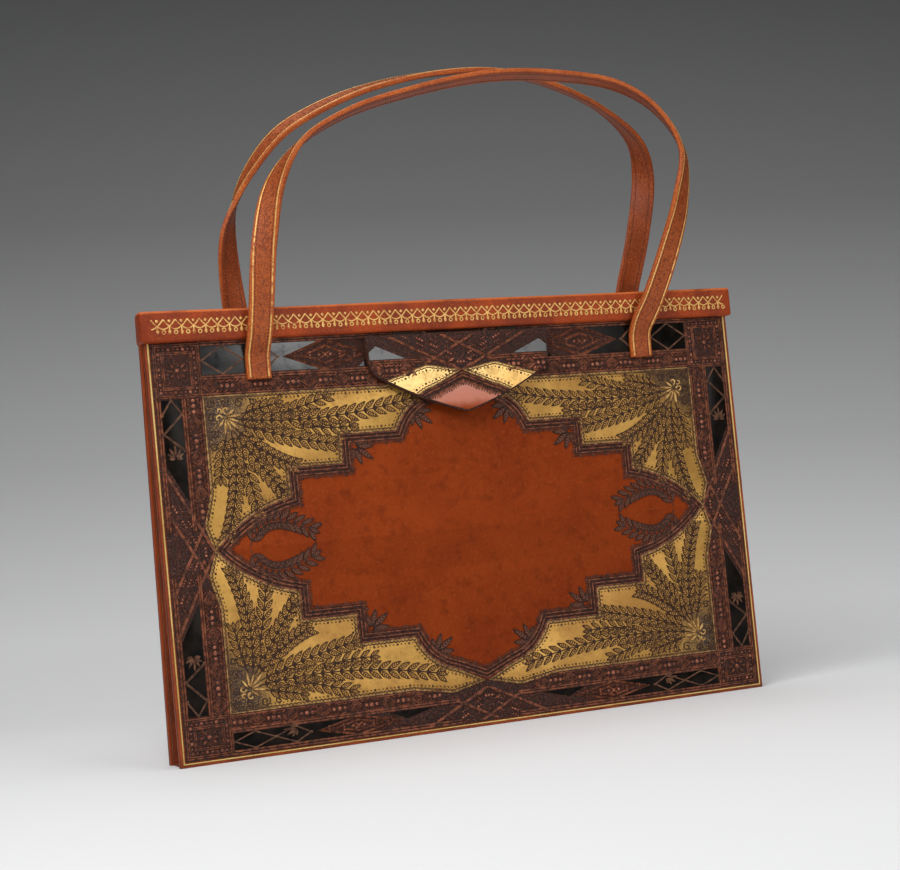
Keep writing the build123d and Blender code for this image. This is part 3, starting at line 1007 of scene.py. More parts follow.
def hatched(name, dark, light, strokes, metal=0.0):
    """Tooled leaves: dark edges, and fine slanting strokes cut across the hollow of each leaf."""
    material, surface, place = new_material(name)
    wave = (place.mark("vein") * (math.tau * strokes)).of("SINE")
    rub = place.noise(0.6, 3)
    stroke = wave.clear(-0.2, 0.6) * place.mark("hollow").clear(0.3, 0.8) * rub.clear(0.1, 0.5)
    dress(surface, {
        "Base Color": stroke.blend(linear(*dark), linear(*light)),
        "Metallic": stroke * metal if metal else 0.0,
        "Roughness": rub * 0.2 + 0.36,
        "Normal": bumped(stroke, 0.5, 0.0002),
        "Specular IOR Level": 0.25,
    })
    return material


gold_leaf = gilt("gold_leaf", (212, 163, 79), (170, 121, 51), 0.3, stippled=True)
bright_gold = gilt("bright_gold", (234, 202, 126), (206, 168, 92), 0.28)
spray_brown = hatched("spray_brown", (60, 36, 22), (196, 144, 70), 7, 0.35)
edge_bead = raised_leather("edge_bead", (54, 34, 22), (108, 74, 44))
petal_gold = raised_leather("petal_gold", (158, 114, 62), (222, 180, 110))
rim_gold = raised_leather("rim_gold", (112, 78, 46), (190, 150, 92))
for piece, finish in (
    (merged("gold_ground", gold_plates), gold_leaf),
    (scattered("gold_beads", bead, gold_edges, 0.0), edge_bead),
    (ridges("gold_scallops", scallops, 0.32, 0.0, closed=True), edge_bead),
    (scattered("leaf_sprays", leaf, spray_leaves, -0.02), spray_brown),
    (ridges("spray_stems", spray_stems + dark_scrolls, 0.3, 0.02), spray_brown),
    (scattered("rosette_petals", leaf, petals, -0.16), petal_gold),
    (ridges("rosette_scrolls", scrolls, 0.34, -0.12), petal_gold),
    (ridges("gold_rims", rims, 0.32, 0.0, closed=True), rim_gold),
):
    fixed(clad(piece, finish), front_frame, "front", "tooled_leather")

# Medallion
# A plain field of orange leather inside a stepped brown band with double rules. Beads fringe the band's
# inner edge, two leaf sprays make a wreath in each side tip, and sprigs stand in the corners.
band_width = 4.2
band_outline = medallion_outline()
band_edges = [lifted(inset(band_outline, depth)) for depth in (0.15, band_width)]
band_rules = [inset(band_outline, depth) for depth in (0.6, 2.1, band_width - 0.5)]
wreath = ((102.5, 0.8), (96.0, 17.0), (74.0, 5.0))
sprig_roots = (((52.2, 39.0), 216), ((23.0, 52.3), 215))
sprig_blades = [(-68, 6.4, 3.1), (-34, 8.6, 3.1), (0, 10.2, 3.1), (34, 8.6, 3.1), (68, 6.4, 3.1)]
fringe = [place + (1.1, 1.0) for place in along(inset(band_outline, band_width + 0.35), 1.1)]
fringe.extend(beaded(inset(band_outline, band_width + 1.1), 1.3, 0.8, 1.5, 5))
sprig_leaves = []
sprig_stems = []
for right, up in quarters:
    leaves, stem = leaf_row(*[(right * x, up * h) for x, h in wreath], 11, 8.4, 2.9, 38, 0.2)
    sprig_leaves.extend(leaves)
    sprig_stems.append(stem)
    for root, heading in sprig_roots:
        aim = up * (heading if right > 0 else 180 - heading)
        sprig_leaves.extend(fan((right * root[0], up * root[1]), aim, sprig_blades, 0, 0.56))


def field_leather(name, gloss_and_highlight_from=None):
    """Orange leather, stained and finely pored, and, above a height where one is given, glossier and painted
    lighter as a highlight.
    """
    material, surface, place = new_material(name)
    cloud = place.noise(0.035, 4)
    stain = place.noise(0.22, 4, 0.6)
    pore = place.cells(2.6)
    colour = cloud.clear(0.3, 0.7).blend(linear(128, 47, 9), linear(142, 56, 12))
    colour = (stain.clear(0.48, 0.74) * 0.5).blend(colour, linear(96, 34, 9))
    colour = (place.noise(0.8, 3).clear(0.5, 0.75) * 0.45).blend(colour, linear(160, 74, 24))
    colour = (place.noise(0.55, 3, 0.65).clear(0.62, 0.76) * 0.6).blend(colour, linear(80, 30, 10))
    if gloss_and_highlight_from:
        # Above the height the colour turns lighter as a painted highlight, and a glossy coat is laid on.
        wear_and_highlight = (place.part(2) + stain * 4.0).clear(gloss_and_highlight_from, gloss_and_highlight_from + 5.0)
        colour = (wear_and_highlight * 0.7).blend(colour, linear(196, 92, 36))
        dress(surface, {"Coat Weight": wear_and_highlight, "Coat Roughness": 0.3, "Coat IOR": 1.85})
    dress(surface, {
        "Base Color": colour,
        "Roughness": stain * 0.2 + 0.55,
        "Normal": bumped(pore * -0.6 + stain * 0.6, 0.25, 0.0002),
        "Specular IOR Level": 0.1,
    })
    return material


field_orange = field_leather("field_orange")
sprig_brown = raised_leather("sprig_brown", (58, 32, 22), (100, 54, 36))
sprig_hatched = hatched("sprig_leaves", (54, 30, 21), (122, 70, 46), 7)
orange_edge = lifted(inset(band_outline, band_width - 0.2))
for piece, finish in (
    (plate("medallion_band", band_edges, 0.0, 0.5, 0.1), tooled_brown),
    (ridges("band_rules", band_rules, 0.4, -0.08, closed=True), rule_brown),
    (plate("medallion_field", [orange_edge], 0.1, 0.5, 0.08), field_orange),
    (scattered("band_fringe", bead, fringe, 0.06), sprig_brown),
    (scattered("field_sprigs", leaf, sprig_leaves, 0.05), sprig_hatched),
    (ridges("wreath_stems", sprig_stems, 0.3, 0.08), sprig_brown),
):
    fixed(clad(piece, finish), front_frame, "front", "tooled_leather")

# Gold fillet
# One fine gold rule near the panel's edges, down both sides and along the bottom.
fillet_half = 139.0
fillet_low = 1.5
fillet_line = [(-fillet_half, panel_top - centre_up), (-fillet_half, fillet_low - centre_up),
               (fillet_half, fillet_low - centre_up), (fillet_half, panel_top - centre_up)]
fillet = clad(ridges("gold_fillet", [fillet_line], 0.4, 0.12), bright_gold)
fixed(fillet, front_frame, "front", "tooled_leather")

# Bars along the mouth
# A leather sleeve drawn tight round a metal channel along each panel's upper edge, with a folded cap at
# each end. The front one is longer, and its lower lip is cut away behind the lift tab.
bar_top = 186.5
bar_out = -3.0
bar_in = 3.7
front_bar_half = 142.3
rear_bar_half = 140.5
bar_wall = 1.1
bar_hollow_out = bar_out + bar_wall
bar_round = 1.25
bar_cuts = 60
overrun = 1
hinge_notch = 30.3


def bar_sag(share):
    """How far the sleeve's front waves in and out along the bar."""
    return 0.14 * math.sin(9 * share + 0.7) + 0.09 * math.sin(23 * share)


def bar_block(half, outside, inside, low, high):
    """A plain block along the bar, to shape or to cut with."""
    bpy.ops.object.select_all(action="DESELECT")
    bpy.ops.mesh.primitive_cube_add(size=1)
    block = bpy.context.object
    block.scale = (2 * half, inside - outside, high - low)
    block.location = (0, (inside + outside) / 2, (high + low) / 2)
    bpy.ops.object.transform_apply()
    return block


def bar_sleeve(name, half, notch):
    """The sleeve round a bar: a rounded box, hollow towards the panel and open below it."""
    piece = bar_block(half, bar_out, bar_in, panel_top, bar_top)
    piece.name = name
    bpy.ops.object.mode_set(mode="EDIT")
    for step in range(1, bar_cuts):
        bpy.ops.mesh.select_all(action="SELECT")
        bpy.ops.mesh.bisect(plane_co=(-half + 2 * half * step / bar_cuts, 0, 0), plane_no=(1, 0, 0))
    bpy.ops.object.mode_set(mode="OBJECT")
    for vertex in piece.data.vertices:
        share = vertex.co.x / half
        if vertex.co.y < 0 and abs(share) < 0.995:
            vertex.co.y += bar_sag(share)
        if vertex.co.z > panel_top + 1:
            vertex.co.z += 0.12 * math.sin(7 * share + 2)
    hollow = (panel_top + bar_wall, bar_top - bar_wall)
    lip = (panel_top - overrun, panel_top + bar_wall + overrun)
    cutters = [
        bar_block(half - bar_wall, bar_hollow_out, bar_in + overrun, *hollow),
        bar_block(half - bar_wall, 0, bar_in + overrun, *lip),
    ]
    if notch:
        cutters.append(bar_block(notch, bar_hollow_out, overrun, *lip))
    rounding = piece.modifiers.new("rounding", "BEVEL")
    rounding.width = bar_round
    rounding.segments = 4
    rounding.limit_method = "ANGLE"
    rounding.angle_limit = math.radians(50)
    pick(piece)
    bpy.ops.object.modifier_apply(modifier="rounding")
    for cutter in cutters:
        cut = piece.modifiers.new("cut", "BOOLEAN")
        cut.object = cutter
        cut.operation = "DIFFERENCE"
        pick(piece)
        bpy.ops.object.modifier_apply(modifier="cut")
        bpy.data.objects.remove(cutter)
    weld(piece, 35)
    return piece


# The sleeve's leather turns paler along its top edge: partly wear, partly a painted highlight.
bar_leather = tan_leather("bar_leather", (172, 68, 21), (126, 46, 16), (208, 108, 50), 1.8, 0.44, 185.6)
front_bar = clad(bar_sleeve("front_bar_sleeve", front_bar_half, hinge_notch), bar_leather)
fixed(front_bar, front_frame, "front", "bar_leather", "front_bar_cover")
rear_bar = clad(bar_sleeve("rear_bar_sleeve", rear_bar_half, 0), bar_leather)
fixed(rear_bar, rear_frame, "back", "bar_leather", "rear_bar_cover")

# Gilt border of the front bar
# A running border stamped in gold on the bar's lower part: interlaced scallops with a dot over each, and
# drops and small rings hanging below in turn.
gilt_pitch = 5.2
gilt_middle = 180.1
gilt_peak = 182.9
gilt_dip = 178.9
dot_up = 182.2
dot_size = 1.45
ring_up = 177.6
ring_radius = 0.75
drop_up = 178.4
gilt_half = 137.0
gilt_face = -3.02
gilt_lines = []
gilt_rings = []
gilt_dots = []
gilt_drops = []
drops_across = int(gilt_half / gilt_pitch)
shares = [step / 6 for step in range(7)]
gilt_climb = [(s, (gilt_peak - gilt_middle) * s ** 1.25) for s in shares]
gilt_fall = [(s, (gilt_dip - gilt_middle) * math.sin(s * math.pi / 2)) for s in shares]
for count in range(-drops_across, drops_across + 1):
    spot = count * gilt_pitch
    for sign in (1, -1):
        reach = sign * gilt_pitch / 2
        for curve in (gilt_climb, gilt_fall):
            gilt_lines.append([(spot + reach * s, gilt_middle + rise) for s, rise in curve])
    gilt_dots.append((spot, dot_up, 0, dot_size, dot_size))
    gilt_drops.append((spot, drop_up, 90, 3.6, 0.95))
    gilt_drops.append((spot, drop_up - 0.7, 90, 2.2, 1.45))
    middle = (spot + gilt_pitch / 2, ring_up)
    gilt_rings.append([polar(middle, turned, ring_radius) for turned in range(0, 360, 45)])


def gilt_stamp():
    """Stamped gold, broken where it has rubbed off the leather."""
    material, surface, place = new_material("stamped_gold")
    wear = place.noise(0.5, 3, 0.7)
    bare = (wear * 0.6 + place.noise(0.05, 2) * 0.5).clear(0.60, 0.70)
    colour = wear.clear(0.3, 0.7).blend(linear(236, 190, 112), linear(208, 152, 76))
    colour = bare.blend(colour, linear(166, 82, 38))
    dress(surface, {"Base Color": colour, "Metallic": 0.35 - bare * 0.3, "Roughness": wear * 0.2 + 0.3})
    return material


stamped_gold = gilt_stamp()
gilt_border = merged("gilt_border", [
    ridges("gilt_waves", gilt_lines, 0.3, gilt_face, rise=0),
    ridges("gilt_rings", gilt_rings, 0.28, gilt_face, closed=True, rise=0),
    scattered("gilt_dots", bead, gilt_dots, gilt_face, rise=0),
    scattered("gilt_drops", bead, gilt_drops, gilt_face, rise=0),
])
for vertex in gilt_border.data.vertices:
    vertex.co.y += bar_sag(vertex.co.x / front_bar_half)
fixed(clad(gilt_border, stamped_gold), front_frame, "front", "bar_leather")

# Lift tab
# A stiff tongue cut from the same design as the panel behind it, so that the pattern runs on across it.
# It hangs from a pin under the bar and curls outwards. A metal plate lies between its two leathers.
tab_axis = 171.45
tab_axis_out = -1.2
tab_top = 0.56
tab_top_half = 44.0
roll_radius = 1.3
drum_middle = -162.05
drum_radius = 159.1
tab_leather_deep = 0.9
tab_plate_deep = 1.7
tab_lining_deep = 2.5
tab_lap = 0.05
tab_margin = 2.4
tab_back_low = -30
tab_back_top = 1.75
tab_knee = (43.45, -11.2)
tab_edge_start = (39.1, -18.0)
tab_edge_end = (3.0, -33.85)
tab_tip = (0.0, -34.5)
tab_sides = ([(tab_top_half, tab_top)] + arc(tab_knee, (42.1, -15.0), tab_edge_start, 5)
             + arc(tab_edge_start, (22.3, -26.7), tab_edge_end, 10)
             + arc(tab_edge_end, (1.5, -34.3), tab_tip, 2) + [tab_tip])
tab_half = [(x, tab_axis - centre_up + h) for x, h in tab_sides]
tab_outline = [(-x, h) for x, h in tab_half[:-1]] + tab_half[::-1]
tab_rise = 2.0
tab_up = centre_up + tab_rise
tab_inside = [(x, h - tab_rise) for x, h in inset(tab_outline, 0.7)]


def clipped(points, window):
    """The part of an outline that lies inside a convex anticlockwise window."""
    for start, end in zip(window, window[1:] + window[:1]):
        run = (end[0] - start[0], end[1] - start[1])
        depths = [run[0] * (h - start[1]) - run[1] * (x - start[0]) for x, h in points]
        kept = []
        ahead = zip(points[1:] + points[:1], depths[1:] + depths[:1])
        for (x, h), depth, ((x2, h2), depth2) in zip(points, depths, ahead):
            if depth >= 0:
                kept.append((x, h))
            if (depth >= 0) != (depth2 >= 0):
                share = depth / (depth - depth2)
                kept.append((x + (x2 - x) * share, h + (h2 - h) * share))
        points = kept
    return points


def on_tab(place):
    """Whether a place of the design lies on the tab."""
    return all((e[0] - s[0]) * (place[1] - s[1]) - (e[1] - s[1]) * (place[0] - s[0]) > 0
               for s, e in zip(tab_inside, tab_inside[1:] + tab_inside[:1]))


def runs_on_tab(lines, closed):
    """The runs of some lines that lie on the tab."""
    runs = []
    for line in lines:
        run = []
        for x, h, heading in along(line + line[:1] if closed else line, 0.8, closed=False):
            if on_tab((x, h)):
                run.append((x, h))
            else:
                runs.append(run)
                run = []
        runs.append(run)
    return [run for run in runs if len(run) > 2]


def curled(piece, flat_angle=35):
    """Cuts a flat piece across every few millimetres, curls it outwards on a large drum, and rolls what
    stands above the hinge back over it."""
    pick(piece)
    bpy.ops.object.mode_set(mode="EDIT")
    for step in range(12):
        bpy.ops.mesh.select_all(action="SELECT")
        bpy.ops.mesh.bisect(plane_co=(0, 0, tab_axis - 3 * step), plane_no=(0, 0, 1))
    bpy.ops.object.mode_set(mode="OBJECT")
    for vertex in piece.data.vertices:
        drop = tab_axis - vertex.co.z
        flat = drum_middle + drum_radius + vertex.co.y
        if drop > 0:
            vertex.co.y = drum_middle + math.sqrt((flat - drum_middle) ** 2 - drop ** 2)
        else:
            vertex.co.y = tab_axis_out + (flat - tab_axis_out) * math.cos(drop / roll_radius)
            vertex.co.z = tab_axis + (flat - tab_axis_out) * math.sin(drop / roll_radius)
    smooth(flat_angle)


tab_base = clad(plate("tab_base", [lifted(tab_outline)], 0.0, tab_leather_deep, 0.2), tooled_brown)
curled(tab_base)
# The tab's gold is a lighter copy of the panel's gold, and its tip turns lighter towards the top: painted
# highlights where the tab catches the light.
tab_gold = gilt("tab_gold", (252, 214, 142), (238, 190, 110), 0.24, 0.7)
tip_orange = field_leather("tip_orange", tab_axis - 31.5)
tab_fields = [("tab_gold", inset(gold_corner(right, 1), 0.3), -0.08, tab_gold) for right in (-1, 1)]
tab_fields.append(("tab_field", inset(band_outline, band_width), -0.08, tip_orange))
tab_fields.extend(("tab_lacquer", panel, -0.1, lacquer_glossy) for panel in lacquer_panels)
tab_parts = []
for name, outline, outside, finish in tab_fields:
    field = clipped(outline, tab_inside)
    if len(field) > 2:
        tab_parts.append(clad(plate(name, [lifted(field, tab_up)], outside, 0.1, 0.04), finish))
        curled(tab_parts[-1], 8)
band_lines = [inset(band_outline, depth) for depth in (0.7, 1.9, band_width - 0.3)]
tab_lines = runs_on_tab(border_lines, False) + runs_on_tab(lozenge_lines + stamped_lines + band_lines, True)
for name, lines, radius, level, finish in (
    ("tab_rules", tab_lines, 0.38, -0.06, rule_brown),
    ("tab_gold_rims", runs_on_tab(rims, True), 0.3, -0.06, rim_gold),
    ("tab_scallops", runs_on_tab(scallops, True), 0.3, -0.08, edge_bead),
):
    tab_parts.append(clad(ridges(name, lines, radius, level, rise=tab_up), finish))
    curled(tab_parts[-1])
for name, punch, places, level, finish in (
    ("tab_studs", bead, border_beads, -0.05, bead_brown),
    ("tab_foliage", leaf, border_leaves, -0.12, bead_brown),
    ("tab_fringe", bead, gold_edges, -0.1, edge_bead),
    ("tab_hem", bead, fringe, -0.1, rule_brown),
):
    relief = scattered(name, punch, [place for place in places if on_tab(place)], level, rise=tab_up)
    tab_parts.append(clad(relief, finish))
    curled(relief)
tab_pattern = merged("tab_pattern", tab_parts)

tab_suede = tan_leather("tab_suede", (84, 44, 30), (58, 32, 24), (112, 62, 42), 2.6, 0.6)
tab_back_window = box_outline(-60, 60, tab_back_low, tab_axis - centre_up - tab_back_top)
tab_back_outline = lifted(clipped(tab_outline, tab_back_window))
tab_back = merged("tab_back", [
    plate("tab_back", [tab_back_outline], tab_plate_deep, tab_lining_deep, 0.15),
    plate("tab_margin", [tab_back_outline, inset(tab_back_outline, tab_margin)],
          tab_leather_deep - tab_lap, tab_plate_deep + tab_lap, 0.05),
])
curled(clad(tab_back, tab_suede))
fixed(tab_base, front_frame, "tab", "tooled_leather", "tab_leather")
fixed(tab_pattern, front_frame, "tab", "tooled_leather")
fixed(tab_back, front_frame, "tab", "tab_lining", "tab_lining")

# Strap handles
# Each handle is one long strap of two leathers sewn back to back, its square ends stitched to the panel.
# It bends where it leaves its feet and turns a quarter over on the way up, so that the arch lies flat.
strap_half = 5.4
strap_thick = 2.2
strap_pad = 0.06
strap_round = 0.5
strap_reach = 92.5
flex_up = 167.0
flex_out = 1.6
foot_stations = [(156.5, -1.1), (159.5, -1.1), (162.6, -1.14)]

# A turn is shares of the strap's reach across, of its rise and of its lean outwards, and of a quarter turn.
front_rise = 118.5
front_lean = 8.0
front_turns = [
    (-1.000, 0.000, 0.000, 0.00), (-0.999, 0.026, 0.215, 0.00), (-0.996, 0.060, 0.465, 0.00),
    (-0.983, 0.152, 0.670, 0.04), (-0.943, 0.396, 0.850, 0.30), (-0.873, 0.592, 0.930, 0.68),
    (-0.737, 0.735, 0.880, 1.04), (-0.501, 0.844, 0.750, 1.10), (-0.170, 0.927, 0.600, 1.10),
    (0.260, 0.994, 0.500, 1.10), (0.624, 1.000, 0.500, 1.06), (0.983, 0.961, 0.560, 0.97),
    (1.197, 0.861, 0.630, 0.79), (1.310, 0.706, 0.760, 0.58), (1.267, 0.512, 0.880, 0.29),
    (1.176, 0.322, 0.820, 0.09), (1.056, 0.125, 0.690, 0.03), (1.006, 0.050, 0.465, 0.00),
    (1.000, 0.026, 0.215, 0.00), (1.000, 0.000, 0.000, 0.00),
]
rear_rise = 123.5
rear_lean = 9.4
rear_turns = [
    (-1.000, 0.000, 0.000, 0.00), (-1.000, 0.025, 0.190, 0.00), (-1.006, 0.058, 0.420, 0.00),
    (-1.022, 0.170, 0.690, 0.06), (-1.020, 0.415, 0.960, 0.44), (-0.965, 0.550, 1.000, 0.88),
    (-0.885, 0.655, 0.960, 1.10), (-0.735, 0.780, 0.880, 1.22), (-0.525, 0.870, 0.800, 1.22),
    (-0.270, 0.940, 0.740, 1.16), (0.100, 0.994, 0.700, 1.08), (0.430, 1.000, 0.700, 1.06),
    (0.760, 0.945, 0.740, 1.12), (1.030, 0.850, 0.820, 1.14), (1.190, 0.735, 0.900, 0.94),
    (1.222, 0.610, 0.960, 0.60), (1.165, 0.390, 0.930, 0.20), (1.065, 0.180, 0.680, 0.04),
    (1.006, 0.058, 0.420, 0.00), (1.000, 0.025, 0.190, 0.00), (1.000, 0.000, 0.000, 0.00),
]


def strap_stations(turns, rise, lean_out):
    """Places along the strap's middle, with the turn of its face, from one foot to the other."""
    loop = [(strap_reach * across, -flex_out - lean_out * out, flex_up + rise * up, twist * math.pi / 2)
            for across, up, out, twist in turns]
    left = [(-strap_reach, out, up, 0.0) for up, out in foot_stations]
    right = [(strap_reach, out, up, 0.0) for up, out in reversed(foot_stations)]
    return left + loop + right


def flowing(rows, pieces):
    """A smooth line through stations of a place and a turn, as many close points."""
    rows = [tuple(2 * a - b for a, b in zip(rows[0], rows[1]))] + rows
    rows.append(tuple(2 * a - b for a, b in zip(rows[-1], rows[-2])))
    points = []
    for before, start, end, after in zip(rows, rows[1:], rows[2:], rows[3:]):
        spans = [max((Vector(p[:3]) - Vector(q[:3])).length, 1e-6) ** 0.5
                 for p, q in ((before, start), (start, end), (end, after))]
        for step in range(pieces):
            s = step / pieces
            point = []
            for b, p, q, a in zip(before, start, end, after):
                slope_in = (p - b) / spans[0] - (q - b) / (spans[0] + spans[1]) + (q - p) / spans[1]
                slope_out = (q - p) / spans[1] - (a - p) / (spans[1] + spans[2]) + (a - q) / spans[2]
                slope_in *= spans[1]
                slope_out *= spans[1]
                point.append((2 * s ** 3 - 3 * s ** 2 + 1) * p + (s ** 3 - 2 * s ** 2 + s) * slope_in
                             + (3 * s ** 2 - 2 * s ** 3) * q + (s ** 3 - s ** 2) * slope_out)
            points.append(point)
    points.append(list(rows[-2]))
    return points


class StrapLine:
    """The line that a strap follows. It takes a place on the strap laid flat to its place on the bag."""

    def __init__(self, stations):
        points = flowing(stations, 24)
        self.places = [Vector(p[:3]) for p in points]
        self.turns = [p[3] for p in points]
        self.marks = [0.0]
        for start, end in zip(self.places, self.places[1:]):
            self.marks.append(self.marks[-1] + (end - start).length)
        self.length = self.marks[-1]

    def find(self, run):
        """The point just before a run along the line, and the share of the way to the next."""
        low, high = 0, len(self.marks) - 2
        while low < high:
            middle = (low + high + 1) // 2
            if self.marks[middle] <= run:
                low = middle
            else:
                high = middle - 1
        return low, (run - self.marks[low]) / (self.marks[low + 1] - self.marks[low])

    def lay(self, flat):
        """Flat is along the strap, across it, and out from its middle."""
        reached = min(max(flat.x, 0), self.length)
        spot, share = self.find(reached)
        middle = self.places[spot].lerp(self.places[spot + 1], share)
        twist = self.turns[spot] + (self.turns[spot + 1] - self.turns[spot]) * share
        before = self.places[max(spot - 3, 0)]
        after = self.places[min(spot + 4, len(self.places) - 1)]
        run = (after - before).normalized()
        outward = Vector((0, -1, 0))
        level = (run - outward * run.dot(outward)).normalized()
        face = outward * math.cos(twist) - level.cross(outward) * math.sin(twist)
        face = (face - run * face.dot(run)).normalized()
        return middle + run.cross(face) * flat.y + face * flat.z + run * (flat.x - reached)


mirror = Matrix.Scale(-1, 4, (0, 1, 0))


def laid_on_strap(piece, line, rear):
    """Bends a piece that was drawn on the flat strap, and keeps its flat place for the finish."""
    flat = piece.data.attributes.new("flat", "FLOAT_VECTOR", "POINT")
    flat.data.foreach_set("vector", [c for vertex in piece.data.vertices for c in vertex.co])
    for vertex in piece.data.vertices:
        place = line.lay(vertex.co)
        vertex.co = (place.x, -place.y, place.z) if rear else place
    if rear:
        edited(piece, bpy.ops.mesh.flip_normals)
    placed(piece, mirror @ front_frame @ mirror if rear else front_frame)
    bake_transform(piece)


def strap_blank(name, length):
    """The flat strap: a long strip with padded middle, rounded edges and square ends."""
    bpy.ops.object.select_all(action="DESELECT")
    bpy.ops.mesh.primitive_grid_add(x_subdivisions=240, y_subdivisions=12, size=1)
    piece = bpy.context.object
    piece.name = name
    piece.scale = (length, 2 * strap_half, 1)
    piece.location = (length / 2, 0, -strap_thick / 2)
    bpy.ops.object.transform_apply()
    for vertex in piece.data.vertices:
        if abs(vertex.co.y) / strap_half < 0.7:
            vertex.co.z += strap_pad
    body = piece.modifiers.new("body", "SOLIDIFY")
    body.thickness = strap_thick
    body.offset = 1
    edges = piece.modifiers.new("edges", "BEVEL")
    edges.width = strap_round
    edges.segments = 3
    edges.limit_method = "ANGLE"
    edges.angle_limit = math.radians(60)
    pick(piece)
    bpy.ops.object.modifier_apply(modifier="body")
    bpy.ops.object.modifier_apply(modifier="edges")
    smooth(50)
    return piece


def strap_finish():
    """Tan edges, a darker tooled middle on the face, and a plain brown back."""
    material, surface, place = new_material("strap_leather")
    flat = place.mark("flat", "Vector")
    out = flat.part(2)
    cloud = place.noise(0.06, 3)
    speck = place.noise(1.7, 2)
    pebble = flat.cells(1.7)
    cloudy = cloud.clear(0.35, 0.65)
    tan = cloudy.blend(linear(178, 82, 31), linear(198, 100, 42))
    middle = cloudy.blend(linear(158, 70, 27), linear(178, 86, 36))
    back = cloudy.blend(linear(134, 58, 25), linear(160, 72, 32))
    tooled = (1 - flat.part(1).of("ABSOLUTE").clear(3.3, 3.8)) * out.clear(0.2, 0.6)
    colour = tooled.blend(tan, middle)
    colour = (1 - out.clear(-0.9, -0.5)).blend(colour, back)
    colour = (speck.clear(0.45, 0.75) * 0.5).blend(colour, linear(214, 128, 66))
    colour = (pebble.clear(0.3, 0.7) * 0.55).blend(colour, linear(108, 47, 22))
    dress(surface, {
        "Base Color": colour,
        "Roughness": cloud * 0.2 + 0.36,
        "Normal": bumped(pebble * -0.8 + speck * 0.5, 0.4, 0.0002),
        "Specular IOR Level": 0.22,
    })
    return material


strap_leather = strap_finish()
front_line = StrapLine(strap_stations(front_turns, front_rise, front_lean))
rear_line = StrapLine(strap_stations(rear_turns, rear_rise, rear_lean))
straps = [("front", front_line, False), ("rear", rear_line, True)]
for half, line, rear in straps:
    strap = clad(strap_blank(half + "_strap_loop", line.length), strap_leather)
    laid_on_strap(strap, line, rear)
    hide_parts(half + "_strap", half + "_strap_feet")

# Tooling of the straps
# Gold rules near both edges of the face, a row of stitches beside each, and a running stem of small leaves
# between. The back has stitches only. All of it is drawn on the flat strap and bent with it.
rule_across = 4.1
stitch_across = 3.2
stitch_pitch = 1.3
leaf_pitch = 3.3
tendril_sway = 0.55
end_margin = 0.8
run_pieces = 300
face_out = -strap_thick / 2 - 0.02
back_out = strap_thick / 2
stitch_brown = raised_leather("stitch_brown", (74, 38, 26), (110, 58, 36))
strap_tooled = raised_leather("strap_tooled", (116, 54, 28), (172, 90, 46))
for half, line, rear in straps:
    runs = [end_margin + step * (line.length - 2 * end_margin) / run_pieces for step in range(run_pieces + 1)]
    rules = [[(a, side * rule_across) for a in runs] for side in (-1, 1)]
    gold = clad(ridges(half + "_strap_rules", rules, 0.34, face_out, rise=0), stamped_gold)
    stitches = [((step + 0.5) * stitch_pitch, side * stitch_across, 0, 1.0, 0.45)
                for step in range(int(line.length / stitch_pitch)) for side in (-1, 1)]
    sewn = merged(half + "_strap_stitches", [
        scattered(half + "_face_stitches", bead, stitches, face_out, rise=0),
        scattered(half + "_back_stitches", bead, stitches, back_out, rise=0),
    ])
    leaves = []
    for step in range(int(line.length / leaf_pitch)):
        a = (step + 0.5) * leaf_pitch
        side = 1 if step % 2 else -1
        leaves.append((a + 0.9, side * 1.35, side * 34, 3.0, 1.15))
        leaves.append((a + 0.4, side * -1.0, side * -52, 2.2, 0.95))
    stem = [(a, tendril_sway * math.sin(a * math.pi / leaf_pitch)) for a in runs]
    tendril = ridges(half + "_tendril", [stem], 0.28, face_out, rise=0)
    foliage = scattered(half + "_strap_leaves", leaf, leaves, face_out + 0.1, rise=0)
    foliage = merged(half + "_strap_leaves", [foliage, tendril])
    for piece in (gold, clad(sewn, stitch_brown), clad(foliage, strap_tooled)):
        placed(piece, Matrix.Rotation(-math.pi / 2, 4, "X"))
        laid_on_strap(piece, line, rear)

# Rear cover
# The back panel's leather, turned in round its board like the front's.
rear_leather = tan_leather("rear_leather", (158, 70, 30), (140, 58, 25), (186, 98, 50), 1.6, 0.46)
rear_cover = clad(cover("rear_cover", []), rear_leather)
fixed(rear_cover, rear_frame, "back", "rear_leather", "rear_leather")

# Rules and sprigs of the rear
# The back is plain leather with blind rules, one gold fillet and a spray of blind leaves in each corner.
rule_depths = (7.5, 9.0, 22.0)
corner_depth = 24.0
rear_sprays = (((34, 5), (16, 1)), ((5, 26), (1, 13)), ((21, 17), (10, 9)))
rear_rules = []
for depth in rule_depths:
    rule = box_outline(-panel_half + depth, panel_half - depth, depth, panel_top - depth)
    rear_rules.append(lifted(rule, -centre_up))
rear_leaves = []
rear_stems = []
for right in (-1, 1):
    for up, edge in ((-1, panel_top - corner_depth), (1, corner_depth)):
        corner = (right * (panel_half - corner_depth), edge - centre_up)
        for far, near in rear_sprays:
            bend, end = [(corner[0] - right * x, corner[1] + up * h) for x, h in (near, far)]
            leaves, stem = leaf_row(corner, bend, end, 7, 5.6, 1.9)
            rear_leaves.extend(leaves)
            rear_stems.append(stem)
blind = merged("rear_blind_tooling", [
    ridges("rear_blind_lines", rear_rules, 0.4, 0.28, closed=True),
    ridges("rear_blind_stems", rear_stems, 0.3, 0.3),
    scattered("rear_blind_leaves", leaf, rear_leaves, 0.3),
])
rear_fillet = ridges("rear_fillet", [fillet_line], 0.4, 0.12)
fixed(clad(blind, rule_brown), rear_frame, "back", "rear_leather")
fixed(clad(rear_fillet, bright_gold), rear_frame, "back", "rear_leather")

